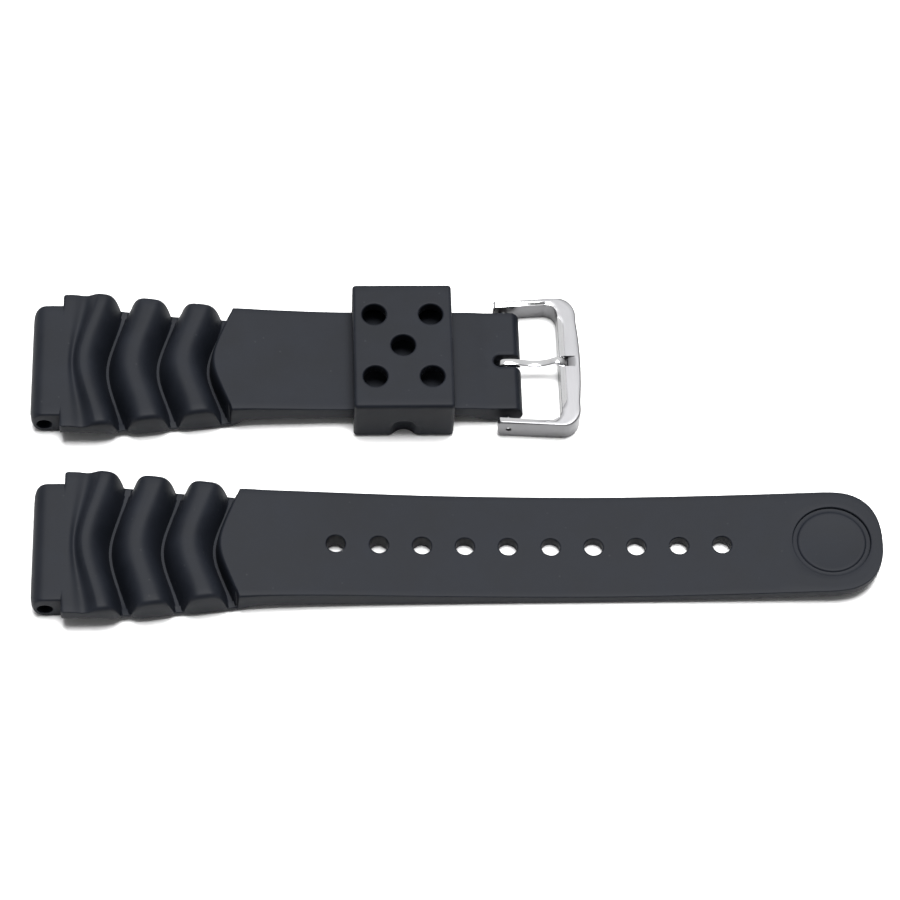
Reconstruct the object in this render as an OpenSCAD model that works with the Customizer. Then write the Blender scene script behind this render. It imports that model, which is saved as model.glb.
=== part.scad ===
// Two-piece rubber dive strap, 22 mm between the lugs, lying open on a table.
// X runs along the strap from the lug ends, Y across it and Z up from the table.
// Each half is drawn from its own lug end at x = 0, centred on y = 0, then laid in place.

/* [Strap lengths] */
// Length of the tail half, lug end to tip
tail_len = 140; // [136:1:150]
// Length of the buckle half, lug end to the looped end
buckle_len = 83; // [80:1:90]
// Distance between the centre lines of the two halves
halves_apart = 35.2; // [32:0.2:50]
// How far the tail half lies ahead of the buckle half
tail_ahead = 1.25; // [0:0.05:3]

/* [Strap widths] */
// Width of the lug end, between the lugs of the watch
lug_w = 22; // [20:0.5:24]
// Length of the lug end before the shoulders
lug_len = 5.05; // [4:0.05:5.5]
// How far each shoulder stands out past the lug end
shoulder_out = 2.2; // [1.5:0.1:3]
// Width where the ribs end
strap_w = 20.6; // [19.5:0.1:22]
// How much narrower the tail half gets towards its tip
tail_taper = 1.7; // [0.5:0.1:2]
// How much narrower the buckle half gets towards its looped end
loop_taper = 1.3; // [0.5:0.1:2]

/* [Rubber thickness] */
// Height of the lug end and shoulders
shoulder_h = 5.35; // [5:0.05:6]
// Height of the ribs
rib_h = 6.2; // [5.8:0.1:7]
// Thickness of the thin web between two ribs
web_t = 1.25; // [1:0.05:2]
// Thickness of the plain part where the ribs end
plain_t = 4; // [3.6:0.1:4.6]
// Thickness of the buckle half under the keeper
keeper_zone_t = 3.05; // [2.8:0.05:3.1]
// Thickness of the looped end round the spring bar
loop_t = 4.2; // [3.8:0.1:4.4]
// Thickness of the tail half near its tip
tail_t = 2.1; // [1.9:0.1:2.6]

/* [Ribs] */
// Distance from one web to the next
rib_pitch = 8.54; // [8:0.02:8.8]
// Place of the first web on the centre line
first_web = 12.62; // [12.4:0.02:13.4]
// How far the ribs are swept back at the edges
rib_bow = 2.95; // [1.5:0.05:3.5]
// Width of the flat floor of a web
web_floor = 0.5; // [0.3:0.05:0.9]
// Depth of the crease between the shoulders and the first rib
crease_depth = 0.5; // [0.2:0.05:0.8]
// How far the edge of a web lies inside the rounded ends of the ribs
web_pinch = 0.3; // [0:0.05:0.8]
// How far the underside rises under the shoulders' wings
wing_lift = 2.9; // [1.5:0.05:3.2]
// Lift of the underside at the edges under the first web
rib_lift = 0.9; // [0.3:0.05:1.4]
// Rounding of the rubber's edges
edge_r = 0.4; // [0.2:0.05:0.5]

/* [Lie on the table] */
// How high the tail half arches where the ribs end
tail_arch = 0.7; // [0.3:0.1:1.5]
// Where the arch of the tail half comes down to the table
tail_down = 70; // [60:1:75]
// Where the tail half leaves the table again
tail_up = 95; // [90:1:110]
// How high the tip of the tail half curls
tail_curl = 1.9; // [0.5:0.1:3]

/* [Holes] */
// Diameter of an adjustment hole
hole_d = 3.1; // [2.6:0.1:3.4]
// Distance from hole to hole
hole_pitch = 7.12; // [6.8:0.02:7.2]
// Place of the first hole
first_hole = 49.7; // [48:0.1:51]
// Number of adjustment holes
hole_count = 10; // [6:1:10]
// Bore of the lug end, for a thick spring bar
lug_bore_d = 2.6; // [1.8:0.1:3]
// Place of the lug bore behind the lug end
lug_bore_x = 2.35; // [2:0.05:2.7]
// Height of the lug bore
lug_bore_z = 2.3; // [2:0.05:2.6]

/* [Medallion] */
// Diameter of the round recess near the tip
medallion_d = 12.9; // [10:0.1:13.5]
// Distance from the centre of the recess to the tip
medallion_back = 8; // [7.6:0.1:10]
// Depth of the recess
medallion_depth = 0.45; // [0.2:0.05:0.6]
// Width of the ring groove round the raised disc
medallion_groove = 0.8; // [0.5:0.1:1.5]

/* [Keeper] */
// Length of the keeper along the strap
keeper_len = 16.9; // [14:0.1:18]
// Distance from the middle of the keeper to the looped end
keeper_back = 20.25; // [19:0.25:26]
// Thickness of the keeper's sides
keeper_wall = 1.85; // [1.3:0.05:2]
// Height of the space inside the keeper
keeper_in_h = 6.3; // [6:0.1:7.5]
// Thickness of the keeper's top
keeper_top_t = 1.8; // [1.4:0.1:2]
// Thickness of the keeper's underside
keeper_base_t = 1.4; // [1.2:0.05:1.4]
// Diameter of the five holes in the keeper
keeper_hole_d = 4.1; // [3.5:0.1:4.5]
// Spacing of the outer four holes along the strap
keeper_hole_x = 9.6; // [9:0.1:10]
// Spacing of the outer four holes across the strap
keeper_hole_y = 12.4; // [11:0.1:14]
// Radius of the scoop in each side of the keeper
scoop_r = 2.3; // [1.8:0.1:2.6]
// Height of the scoop
scoop_h = 5; // [4:0.1:6]

/* [Buckle] */
// Distance from the spring bar to the outer edge of the frame
frame_reach = 12.7; // [12:0.1:14]
// Gap between the looped end and each arm of the frame
frame_gap = 1.4; // [1.2:0.05:2]
// How far each corner of the frame stands out past the end of its arm
frame_flare = 0.6; // [0:0.05:1]
// Thickness of an arm of the frame, across the strap
arm_t = 1.25; // [1.1:0.05:1.5]
// Height of the frame
frame_h = 4.2; // [4:0.1:4.6]
// Width of the bar that the tongue rests on
bar_w = 3.6; // [3:0.1:4]
// Corner radius of the frame
frame_corner_r = 4.2; // [3:0.1:5]
// Width of the tongue
tongue_w = 1.3; // [1.1:0.05:1.6]
// Thickness of the tongue
tongue_t = 1; // [0.9:0.05:1.1]
// Width of the slot for the tongue
slot_w = 2.4; // [2.2:0.1:3]
// Width of the notch in the bar that the tongue's tip drops into
notch_w = 2.3; // [1.9:0.1:3]
// Depth of that notch
notch_depth = 1; // [0.7:0.05:1.2]

/* [Spring bar] */
// Outer diameter of the tube
tube_d = 1.8; // [1.7:0.05:1.9]
// Wall of the tube
tube_wall = 0.25; // [0.2:0.01:0.3]
// Diameter of the tips
tip_d = 0.9; // [0.8:0.05:1]
// Wire of the coil spring
coil_wire = 0.2; // [0.18:0.01:0.22]
// Turns of the coil spring
coil_turns = 14; // [8:1:16]

/* [Hidden] */
$fn = 48;
rubber = [0.24, 0.26, 0.29];
steel = [0.77, 0.77, 0.78];

// Cuts run this far past the faces that they open
over = 1;
// Clearance of rubber from the pieces that it holds or guides
rubber_gap = 0.15;
// Clearance of metal pieces that turn or slide in each other
run_gap = 0.05;

// Lie of the halves on the table
total_len = tail_ahead + tail_len;
lay_x = -total_len / 2;
lay_y = halves_apart / 2;

// Rib section: each rib is an arch, with a web on each side
rib_count = 3;
arch_half = (rib_pitch - web_floor) / 2;
last_web = first_web + (rib_count - 1) * rib_pitch;
first_crest = first_web - rib_pitch / 2;
crease_x = first_crest - arch_half / 3;
crease_reach = web_floor * 1.2;
rise_x = crease_x - web_floor;
step_len = arch_half * 0.28;
under_step = rib_pitch * 0.4;
plain_start = last_web + web_floor / 2 + step_len;
shoulder_w = lug_w + 2 * shoulder_out;
tail_w = strap_w - tail_taper;
loop_w = strap_w - loop_taper;
bow_ease = rib_pitch;
bow_curve = rib_bow * 1.35;
edge_lift = edge_r * 0.2;

// Lie of the plain parts: how high the underside is held
plain_ease = 2 * rib_pitch;
tip_len = tail_w * 0.58;
axle_x = buckle_len - loop_t * 0.6;
axle_z = frame_h / 2 + run_gap;
loop_low = axle_z - loop_t * 0.46;
keeper_low = keeper_base_t + rubber_gap * 1.4;
keeper_x = buckle_len - keeper_back;
keeper_near = keeper_x - keeper_len / 2;
keeper_far = keeper_x + keeper_len / 2;
keeper_free = 2.4;
loop_start = keeper_far + keeper_free;
loop_ease = loop_t;

// Keeper
keeper_in_w = strap_w + 2 * rubber_gap;
keeper_w = keeper_in_w + 2 * keeper_wall;
keeper_h = keeper_base_t + keeper_in_h + keeper_top_t;
keeper_round = keeper_base_t / 2;
scoop_out = scoop_r - keeper_wall * 0.75;

// Buckle and spring bar
arm_in = loop_w / 2 + frame_gap;
frame_w = 2 * (arm_in + arm_t);
frame_corner_w = frame_w + 2 * frame_flare;
corner_in = frame_corner_w / 2 - arm_t;
frame_end = axle_x + frame_reach;
bar_in = frame_end - bar_w;
arm_end_r = frame_h / 3;
arm_start = axle_x - frame_h * 0.43;
tube_r = tube_d / 2;
tube_bore_r = tube_r - tube_wall;
tube_half = loop_w / 2 - 2 * tube_wall;
lip = tube_wall * 1.6;
head_r = tube_bore_r - run_gap;
stem_r = tip_d / 2 - run_gap;
head_len = tube_d;
collar_r = tube_r - tube_wall * 0.2;
collar_len = tip_d / 2;
collar_gap = run_gap * 2;
collar_y = arm_in - collar_gap - collar_len;
tip_end = frame_w / 2 - arm_t * 0.12;
head_y = tube_half - lip - head_len;
coil_r = head_r - coil_wire / 2;
wrap_in = tube_r + run_gap;
wrap_r = wrap_in + tongue_t;
slot_x = axle_x - wrap_r - 2 * rubber_gap;
notch_len = bar_w * 0.6;
tongue_rest = frame_h - notch_depth + run_gap;

function clamp01(t) = min(1, max(0, t));
function ease(t) = let (c = clamp01(t)) c * c * (3 - 2 * c);
function mix(a, b, t) = a + (b - a) * t;

// Sweep of a rib at y, zero on the centre line and rib_bow at y = half
function bow_at(y, half) = rib_bow * (sqrt(y * y + bow_curve * bow_curve) - bow_curve)
    / (sqrt(half * half + bow_curve * bow_curve) - bow_curve);
function bow_share(s) = ease((s - lug_len) / (crease_x - lug_len + 2 * web_floor))
    * (1 - ease((s - plain_start) / bow_ease));

// Arch of a rib, from the web floor up, u from its crest
function arch(u) = let (c = min(1, abs(u) / arch_half)) 1 - c * c * c;
function rib_share(s) =
    s < first_crest ? 1 :
    s < last_web ? arch(s - first_crest - rib_pitch * round((s - first_crest) / rib_pitch)) :
    s < last_web + web_floor / 2 ? 0 : 1;
function crease(s) = crease_depth * exp(-pow((s - crease_x) / crease_reach, 2));
function step_share(s) = let (c = clamp01((s - last_web - web_floor / 2) / step_len)) 1 - pow(1 - c, 3);

// Underside and thickness of each half's plain part
function tail_low(s) = tail_arch * (1 - ease((s - plain_start) / (tail_down - plain_start)))
    + tail_curl * pow(clamp01((s - tail_up) / (tail_len - tail_up)), 1.5);
function tail_thick(s) = mix(plain_t, tail_t, ease((s - plain_start) / (tail_up - plain_start)));
function loop_low_at(s) = keeper_low + (loop_low - keeper_low) * ease((s - loop_start) / loop_ease);
function loop_thick(s) = mix(plain_t, keeper_zone_t, ease((s - plain_start) / (keeper_near - plain_start)))
    + (loop_t - keeper_zone_t) * ease((s - loop_start) / loop_ease);

function plain_low(s, is_tail) = is_tail ? tail_low(s) : loop_low_at(s);
function low(s, is_tail) = plain_low(s, is_tail) * ease((s - plain_start + step_len / 2) / under_step);
function thick(s, is_tail) = is_tail ? tail_thick(s) : loop_thick(s);
function top(s, is_tail) =
    s < first_crest ? mix(shoulder_h, rib_h, ease((s - rise_x) / (first_crest - rise_x))) - crease(s) :
    s < last_web ? mix(web_t, rib_h, rib_share(s)) :
    mix(web_t, plain_low(s, is_tail) + thick(s, is_tail), step_share(s));

// Half width at s
function taper(s) = strap_w / 2
    + (shoulder_w - strap_w) / 2 * (1 - clamp01((s - first_crest) / (plain_start - first_crest)));
function pinch(s) = web_pinch * (1 - rib_share(s)) * (1 - step_share(s));
function plain_half(s, is_tail) =
    let (end = (is_tail ? tail_w : loop_w) / 2)
    end + (strap_w / 2 - end) * exp(-(s - plain_start) / plain_ease);
function tip_share(s) = let (c = clamp01((s - tail_len + tip_len) / tip_len)) pow(1 - pow(c, 4.5), 0.45);
function half_w(s, is_tail) =
    (s < plain_start ? taper(s) - pinch(s) : plain_half(s, is_tail)) * (is_tail ? tip_share(s) : 1);

// Lift of the underside at the edges, most under the wings of the shoulders
function lift(s) =
    mix(mix(wing_lift, rib_lift, ease((s - first_crest / 2) / rib_pitch)), edge_lift,
        ease((s - first_web) / (2 * rib_pitch)));

// One ring of points round the strap at station s
across_share = [-1, -0.82, -0.62, -0.4, -0.2, 0, 0.2, 0.4, 0.62, 0.82, 1];
under_share = [0.96, 0.8, 0.45, 0, -0.45, -0.8, -0.96];
under_lift_share = [1, 0.16, 0, 0, 0, 0.16, 1];
function ring(s, is_tail) =
    let (w = half_w(s, is_tail), r = min(edge_r, w / 3), zt = top(s, is_tail), zb = low(s, is_tail),
         up = min(lift(s), (zt - zb) * 0.55), b = bow_share(s), h = taper(s))
    concat(
        [for (k = across_share) let (y = (w - r) * k) [s + b * bow_at(y, h), y, zt]],
        [[s + b * bow_at(w, h), w, zt - r], [s + b * bow_at(w, h), w, zb + up + (zt - r - zb - up) * 0.15]],
        [for (i = [0:len(under_share) - 1])
            let (y = w * under_share[i]) [s + b * bow_at(y, h), y, zb + up * under_lift_share[i]]],
        [[s + b * bow_at(w, h), -w, zb + up + (zt - r - zb - up) * 0.15], [s + b * bow_at(w, h), -w, zt - r]]);

// Stations along the strap, close together over the ribs
rib_station_share = [-0.93, -0.8, -0.62, -0.38, -0.12, 0.12, 0.38, 0.62, 0.8, 0.93];
step_station_share = [0, 0.12, 0.3, 0.55, 1];
tip_station_share = [0, 0.3, 0.5, 0.65, 0.77, 0.86, 0.93, 0.97, 0.99, 0.998];
rib_stations = concat(
    [lug_len, crease_x - crease_reach * 2, crease_x - crease_reach, crease_x - crease_reach * 0.4,
     crease_x + crease_reach * 0.2, crease_x + crease_reach],
    [for (k = rib_station_share) if (k > -0.3) first_crest + k * arch_half],
    [for (i = [0:rib_count - 2]) each concat(
        [first_web + i * rib_pitch - web_floor / 2, first_web + i * rib_pitch + web_floor / 2],
        [for (k = rib_station_share) first_crest + (i + 1) * rib_pitch + k * arch_half])],
    [last_web - web_floor / 2],
    [for (k = step_station_share) last_web + web_floor / 2 + k * step_len]);
tail_spans = 20;
loop_spans = 16;
tail_run = tail_len - tip_len - plain_start;
tail_stations = concat(rib_stations,
    [for (i = [1:tail_spans - 1]) plain_start + tail_run * i / tail_spans],
    [for (k = tip_station_share) tail_len - tip_len + k * tip_len]);
loop_stations = concat(rib_stations,
    [for (i = [1:loop_spans]) plain_start + (axle_x - plain_start) * i / loop_spans]);

// Closed skin through the rings, each end closed by a fan round a point inside it
function ring_middle(s, is_tail) = [s, 0, mix(low(s, is_tail), top(s, is_tail), 0.7)];
module strap_body(stations, is_tail) {
    rings = [for (s = stations) ring(s, is_tail)];
    n = len(rings[0]);
    m = len(rings);
    last = (m - 1) * n;
    middles = [ring_middle(stations[0], is_tail), ring_middle(stations[m - 1], is_tail)];
    polyhedron(
        points = concat([for (r = rings) each r], middles),
        faces = concat(
            [for (j = [0:n - 1]) [m * n, (j + 1) % n, j]],
            [for (j = [0:n - 1]) [m * n + 1, last + j, last + (j + 1) % n]],
            [for (i = [0:m - 2], j = [0:n - 1])
                let (a = i * n + j, b = i * n + (j + 1) % n) each [[a, b, a + n], [b, b + n, a + n]]]));
}

// Lug end: a block with a rounded nose
module lug_end() {
    nose_r = shoulder_h * 0.43;
    rotate([90, 0, 0])
        linear_extrude(height = lug_w, center = true)
            union() {
                translate([nose_r, 0]) square([lug_len - nose_r + over / 2, shoulder_h]);
                translate([0, nose_r]) square([nose_r + over / 2, shoulder_h - 2 * nose_r]);
                translate([nose_r, nose_r]) circle(r = nose_r);
                translate([nose_r, shoulder_h - nose_r]) circle(r = nose_r);
            }
}
module lug_bore() {
    translate([lug_bore_x, 0, lug_bore_z])
        rotate([90, 0, 0]) cylinder(d = lug_bore_d, h = lug_w + 2 * over, center = true);
}

module place_tail_half() {
    translate([lay_x + tail_ahead, -lay_y, 0]) children();
}
module place_buckle_half() {
    translate([lay_x, lay_y, 0]) children();
}

module strap_tail_half() {
    medallion_x = tail_len - medallion_back;
    medallion_top = top(medallion_x, true);
    color(rubber) place_tail_half() difference() {
        union() {
            strap_body(tail_stations, true);
            lug_end();
        }
        lug_bore();
        for (i = [0:hole_count - 1])
            translate([first_hole + i * hole_pitch, 0, -over])
                cylinder(d = hole_d, h = rib_h + 2 * over);
        translate([medallion_x, 0, medallion_top - medallion_depth])
            difference() {
                cylinder(d = medallion_d, h = rib_h);
                translate([0, 0, -over])
                    cylinder(d = medallion_d - 2 * medallion_groove, h = over + medallion_depth / 2);
            }
    }
}

// Looped end of the buckle half, round the spring bar
module loop_end() {
    end_r = buckle_len - axle_x;
    loop_mid = loop_low + loop_t / 2;
    translate([axle_x, 0, loop_mid])
        rotate([90, 0, 0])
            linear_extrude(height = loop_w, center = true)
                intersection() {
                    circle(r = end_r);
                    translate([-end_r / 4, -loop_t / 2]) square([2 * end_r, loop_t]);
                }
}
module strap_buckle_half() {
    slot_len = buckle_len - slot_x + over;
    color(rubber) place_buckle_half() difference() {
        union() {
            strap_body(loop_stations, false);
            lug_end();
            loop_end();
        }
        lug_bore();
        translate([axle_x, 0, axle_z])
            rotate([90, 0, 0]) cylinder(r = tube_r + run_gap, h = strap_w + 2 * over, center = true);
        translate([slot_x + slot_w / 2, 0, -over]) {
            cylinder(d = slot_w, h = rib_h + 2 * over);
            translate([0, -slot_w / 2, 0]) cube([slot_len, slot_w, rib_h + 2 * over]);
        }
    }
}

// Rounded rectangle centred on the origin
module round_rect(size, r) {
    square([size[0] - 2 * r, size[1]], center = true);
    square([size[0], size[1] - 2 * r], center = true);
    for (sx = [-1, 1], sy = [-1, 1])
        translate([sx * (size[0] / 2 - r), sy * (size[1] / 2 - r)]) circle(r = r);
}

module keeper_loop() {
    color(rubber) place_buckle_half() translate([keeper_x, 0, 0]) difference() {
        intersection() {
            translate([0, 0, keeper_h / 2]) rotate([90, 0, 90])
                linear_extrude(height = keeper_len, center = true)
                    round_rect([keeper_w, keeper_h], keeper_round);
            linear_extrude(height = keeper_h) round_rect([keeper_len, keeper_w], keeper_round * 1.2);
            translate([0, 0, keeper_h / 2]) rotate([90, 0, 0])
                linear_extrude(height = keeper_w, center = true)
                    round_rect([keeper_len, keeper_h], keeper_round * 0.8);
        }
        translate([0, 0, keeper_base_t + keeper_in_h / 2]) rotate([90, 0, 90])
            linear_extrude(height = keeper_len + 2 * over, center = true)
                round_rect([keeper_in_w, keeper_in_h], keeper_round / 2);
        translate([0, 0, keeper_h - keeper_top_t - over]) {
            cylinder(d = keeper_hole_d, h = keeper_top_t + 2 * over);
            for (sx = [-1, 1], sy = [-1, 1])
                translate([sx * keeper_hole_x / 2, sy * keeper_hole_y / 2, 0])
                    cylinder(d = keeper_hole_d, h = keeper_top_t + 2 * over);
        }
        for (sy = [-1, 1])
            translate([0, sy * (keeper_w / 2 + scoop_out), 0]) {
                translate([0, 0, -over]) cylinder(r = scoop_r, h = scoop_h - scoop_r + over);
                translate([0, 0, scoop_h - scoop_r]) sphere(r = scoop_r);
            }
    }
}

// Outline of the frame seen from above, with its corners rounded
module frame_outline() {
    flare_x = frame_end - frame_corner_r;
    corner_y = frame_corner_w / 2 - frame_corner_r;
    union() {
        polygon([
            [arm_start, -frame_w / 2], [flare_x, -frame_corner_w / 2],
            [flare_x, frame_corner_w / 2], [arm_start, frame_w / 2]]);
        translate([flare_x - over / 2, -corner_y]) square([frame_corner_r + over / 2, 2 * corner_y]);
        for (sy = [-1, 1]) translate([flare_x, sy * corner_y]) circle(r = frame_corner_r);
    }
}
module frame_window() {
    in_r = frame_corner_r - arm_t;
    flare_x = bar_in - in_r;
    corner_y = corner_in - in_r;
    union() {
        polygon([
            [arm_start - over, -arm_in], [arm_start, -arm_in], [flare_x, -corner_in],
            [flare_x, corner_in], [arm_start, arm_in], [arm_start - over, arm_in]]);
        translate([flare_x - over / 2, -corner_y]) square([in_r + over / 2, 2 * corner_y]);
        for (sy = [-1, 1]) translate([flare_x, sy * corner_y]) circle(r = in_r);
    }
}
module buckle_frame() {
    color(steel) place_buckle_half() difference() {
        intersection() {
            linear_extrude(height = frame_h) frame_outline();
            rotate([90, 0, 0])
                linear_extrude(height = 2 * frame_corner_w, center = true)
                    translate([(arm_start + frame_end) / 2, frame_h / 2])
                        round_rect([frame_end - arm_start, frame_h], arm_end_r);
        }
        translate([0, 0, -over]) linear_extrude(height = frame_h + 2 * over) frame_window();
        translate([axle_x, 0, axle_z])
            rotate([90, 0, 0]) cylinder(d = tip_d + 2 * run_gap, h = 2 * frame_w, center = true);
        translate([bar_in - over, -notch_w / 2, frame_h - notch_depth])
            cube([over + notch_len, notch_w, notch_depth + over]);
    }
}

// Tongue: curled round the tube, with a wavy shank that thins to a tip in the notch of the bar
shank_share = [0, 0.1, 0.2, 0.3, 0.41, 0.52, 0.63, 0.74, 0.83, 0.91, 1];
wave_share = [0, 0, -0.16, -0.4, -0.62, -0.7, -0.52, -0.16, 0.26, 0.3, 0];
thin_share = [1, 1, 1, 1, 1, 1, 1, 1, 1, 0.9, 0.6];
module buckle_tongue() {
    tip_x = bar_in + bar_w * 0.4;
    shank_len = tip_x - axle_x;
    rest = tongue_rest - axle_z;
    last = len(shank_share) - 1;
    tip_r = tongue_t * thin_share[last] / 2;
    under = [for (i = [0:last])
        [shank_share[i] * shank_len,
         mix(wrap_r - tongue_t, rest, ease(shank_share[i])) + wave_share[i] * tongue_t]];
    upper = [for (i = [last:-1:0]) [under[i][0], under[i][1] + thin_share[i] * tongue_t]];
    color(steel) place_buckle_half() translate([axle_x, 0, axle_z]) rotate([90, 0, 0])
        linear_extrude(height = tongue_w, center = true)
            difference() {
                union() {
                    circle(r = wrap_r);
                    polygon(concat(under, upper));
                    translate([shank_len, rest + tip_r]) circle(r = tip_r);
                }
                circle(r = wrap_in);
            }
}

module spring_bar_tube() {
    color(steel) place_buckle_half() translate([axle_x, 0, axle_z]) rotate([90, 0, 0])
        difference() {
            cylinder(r = tube_r, h = 2 * tube_half, center = true);
            cylinder(r = tube_bore_r, h = 2 * (tube_half - lip), center = true);
            cylinder(r = tip_d / 2, h = 2 * tube_half + over, center = true);
        }
}

// Plunger: head inside the tube, stem through its lip, collar outside it and tip in the arm
module plunger() {
    translate([axle_x, 0, axle_z]) rotate([-90, 0, 0]) {
        translate([0, 0, head_y]) cylinder(r = head_r, h = head_len);
        translate([0, 0, head_y + head_len]) cylinder(r = stem_r, h = tip_end - head_y - head_len);
        translate([0, 0, collar_y]) cylinder(r = collar_r, h = collar_len);
        translate([0, 0, collar_y]) cylinder(r = tip_d / 2, h = tip_end - collar_y);
    }
}
module spring_bar_plunger_back() {
    color(steel) place_buckle_half() plunger();
}
module spring_bar_plunger_front() {
    color(steel) place_buckle_half() mirror([0, 1, 0]) plunger();
}

// Coil spring between the two heads
coil_sides = 6;
coil_steps = 8;
module spring_bar_coil() {
    coil_end = head_y - coil_wire;
    count = coil_turns * coil_steps;
    rise = 2 * (coil_end - coil_wire / 2) / count;
    wire_r = coil_wire / 2;
    points = [for (i = [0:count]) let (a = 360 * i / coil_steps, y = -coil_end + coil_wire / 2 + i * rise)
        for (j = [0:coil_sides - 1]) let (b = 360 * j / coil_sides, r = coil_r + wire_r * cos(b))
            [r * cos(a), y + wire_r * sin(b), r * sin(a)]];
    color(steel) place_buckle_half() translate([axle_x, 0, axle_z])
        polyhedron(points = points, faces = concat(
            [[for (j = [0:coil_sides - 1]) j]],
            [[for (j = [coil_sides - 1:-1:0]) count * coil_sides + j]],
            [for (i = [0:count - 1], j = [0:coil_sides - 1])
                let (a = i * coil_sides + j, b = i * coil_sides + (j + 1) % coil_sides)
                each [[a, a + coil_sides, b], [b, a + coil_sides, b + coil_sides]]]));
}

strap_tail_half();
strap_buckle_half();
keeper_loop();
buckle_frame();
buckle_tongue();
spring_bar_tube();
spring_bar_plunger_front();
spring_bar_plunger_back();
spring_bar_coil();
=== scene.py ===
"""Looks of a rubber dive strap: two moulded halves, a keeper and a steel tongue buckle.

Laid out as a Blender add-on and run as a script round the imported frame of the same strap.
Shapes are worked out in millimetres from the lug end of each half and laid in place in metres.
"""

import math

import bmesh
import bpy
from bpy.props import FloatProperty, FloatVectorProperty, IntProperty, PointerProperty
from mathutils import Matrix, Vector


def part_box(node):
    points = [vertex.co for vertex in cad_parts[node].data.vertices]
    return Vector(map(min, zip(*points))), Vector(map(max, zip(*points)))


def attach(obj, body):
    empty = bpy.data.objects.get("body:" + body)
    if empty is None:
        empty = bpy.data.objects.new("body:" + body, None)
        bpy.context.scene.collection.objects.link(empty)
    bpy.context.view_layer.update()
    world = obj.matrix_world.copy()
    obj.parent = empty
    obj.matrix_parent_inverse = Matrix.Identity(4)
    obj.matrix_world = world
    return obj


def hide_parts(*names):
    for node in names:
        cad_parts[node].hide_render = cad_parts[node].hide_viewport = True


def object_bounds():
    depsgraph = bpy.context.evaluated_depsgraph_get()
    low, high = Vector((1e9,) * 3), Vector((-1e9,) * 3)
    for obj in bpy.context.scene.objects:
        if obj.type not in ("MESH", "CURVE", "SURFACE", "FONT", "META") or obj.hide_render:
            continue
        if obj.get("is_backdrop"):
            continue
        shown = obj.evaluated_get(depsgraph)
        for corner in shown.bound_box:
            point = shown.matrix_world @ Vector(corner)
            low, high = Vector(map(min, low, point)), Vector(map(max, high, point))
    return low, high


bl_info = {
    "name": "Rubber dive strap",
    "version": (1, 0, 0),
    "blender": (4, 5, 0),
    "location": "3D View > Sidebar > Dive strap",
    "description": "Builds the rubber, the steel and the stage of a dive strap round its frame",
    "category": "Object",
}

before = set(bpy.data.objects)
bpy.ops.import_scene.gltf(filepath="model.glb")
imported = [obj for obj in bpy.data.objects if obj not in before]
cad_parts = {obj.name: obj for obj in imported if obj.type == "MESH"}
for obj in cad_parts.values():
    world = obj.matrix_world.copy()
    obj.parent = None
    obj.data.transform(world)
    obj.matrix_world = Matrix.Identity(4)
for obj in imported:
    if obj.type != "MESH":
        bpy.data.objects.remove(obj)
CAD_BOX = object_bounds()
TAIL_LOW, TAIL_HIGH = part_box("strap_tail_half")
BUCKLE_LOW, BUCKLE_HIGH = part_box("strap_buckle_half")
KEEPER_LOW, KEEPER_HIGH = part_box("keeper_loop")
FRAME_LOW, FRAME_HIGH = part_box("buckle_frame")
TUBE_LOW, TUBE_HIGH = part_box("spring_bar_tube")
MM = 0.001
TAIL_ORIGIN = Vector((TAIL_LOW.x, (TAIL_LOW.y + TAIL_HIGH.y) / 2, 0))
BUCKLE_ORIGIN = Vector((BUCKLE_LOW.x, (BUCKLE_LOW.y + BUCKLE_HIGH.y) / 2, 0))
AXLE = (TUBE_LOW + TUBE_HIGH) / 2


def length(name, description, default):
    """A distance that shows in the sidebar in the scene's units."""
    return FloatProperty(
        name=name, description=description, default=default, subtype="DISTANCE", unit="LENGTH"
    )


def brightness(name, description, default):
    """A strength of light that shows in the sidebar."""
    return FloatProperty(name=name, description=description, default=default, min=0, max=99)


def colour(name, description, default):
    """A colour that shows in the sidebar."""
    return FloatVectorProperty(
        name=name, description=description, default=default, size=4, min=0, max=1, subtype="COLOR"
    )


class StrapSizes(bpy.types.PropertyGroup):
    """Sizes of the two moulded halves"""

    tail_length: length("Tail half", "Lug end to tip", TAIL_HIGH.x - TAIL_LOW.x)
    buckle_length: length("Buckle half", "Lug end to looped end", BUCKLE_HIGH.x - BUCKLE_LOW.x)
    lug_width: length("Lug width", "Width between the lugs", 0.022)
    lug_length: length("Lug end", "Length of the lug end before the shoulders", 0.00505)
    shoulder_width: length("Shoulders", "Width across the shoulders", BUCKLE_HIGH.y - BUCKLE_LOW.y)
    strap_width: length("Strap width", "Width where the ribs end", 0.0206)
    tail_width: length("Tail width", "Width near the tip", 0.0189)
    loop_width: length("Loop width", "Width at the looped end", 0.0193)
    shoulder_height: length("Shoulder height", "Height of the lug end and shoulders", 0.00535)
    rib_height: length("Rib height", "Height of the ribs", BUCKLE_HIGH.z)
    web: length("Web", "Thickness of the thin web between two ribs", 0.00125)
    plain: length("Plain part", "Thickness where the ribs end", 0.004)
    under_keeper: length("Under the keeper", "Thickness of the buckle half under the keeper", 0.00305)
    loop: length("Looped end", "Thickness round the spring bar", 0.0042)
    tail: length("Tail", "Thickness near the tip", 0.0021)
    hole: length("Hole", "Diameter of an adjustment hole", 0.0031)
    hole_pitch: length("Hole pitch", "Distance from hole to hole", 0.00712)
    first_hole: length("First hole", "Distance from the lug end to the first hole", 0.0497)
    hole_count: IntProperty(name="Holes", description="Number of adjustment holes", default=10, min=1, max=10)
    medallion: length("Medallion", "Diameter of the round recess near the tip", 0.0129)
    medallion_depth: length("Medallion depth", "Depth of the recess", 0.00045)
    bore: length("Lug bore", "Diameter of the bore for the watch's spring bar", 0.0026)


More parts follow.
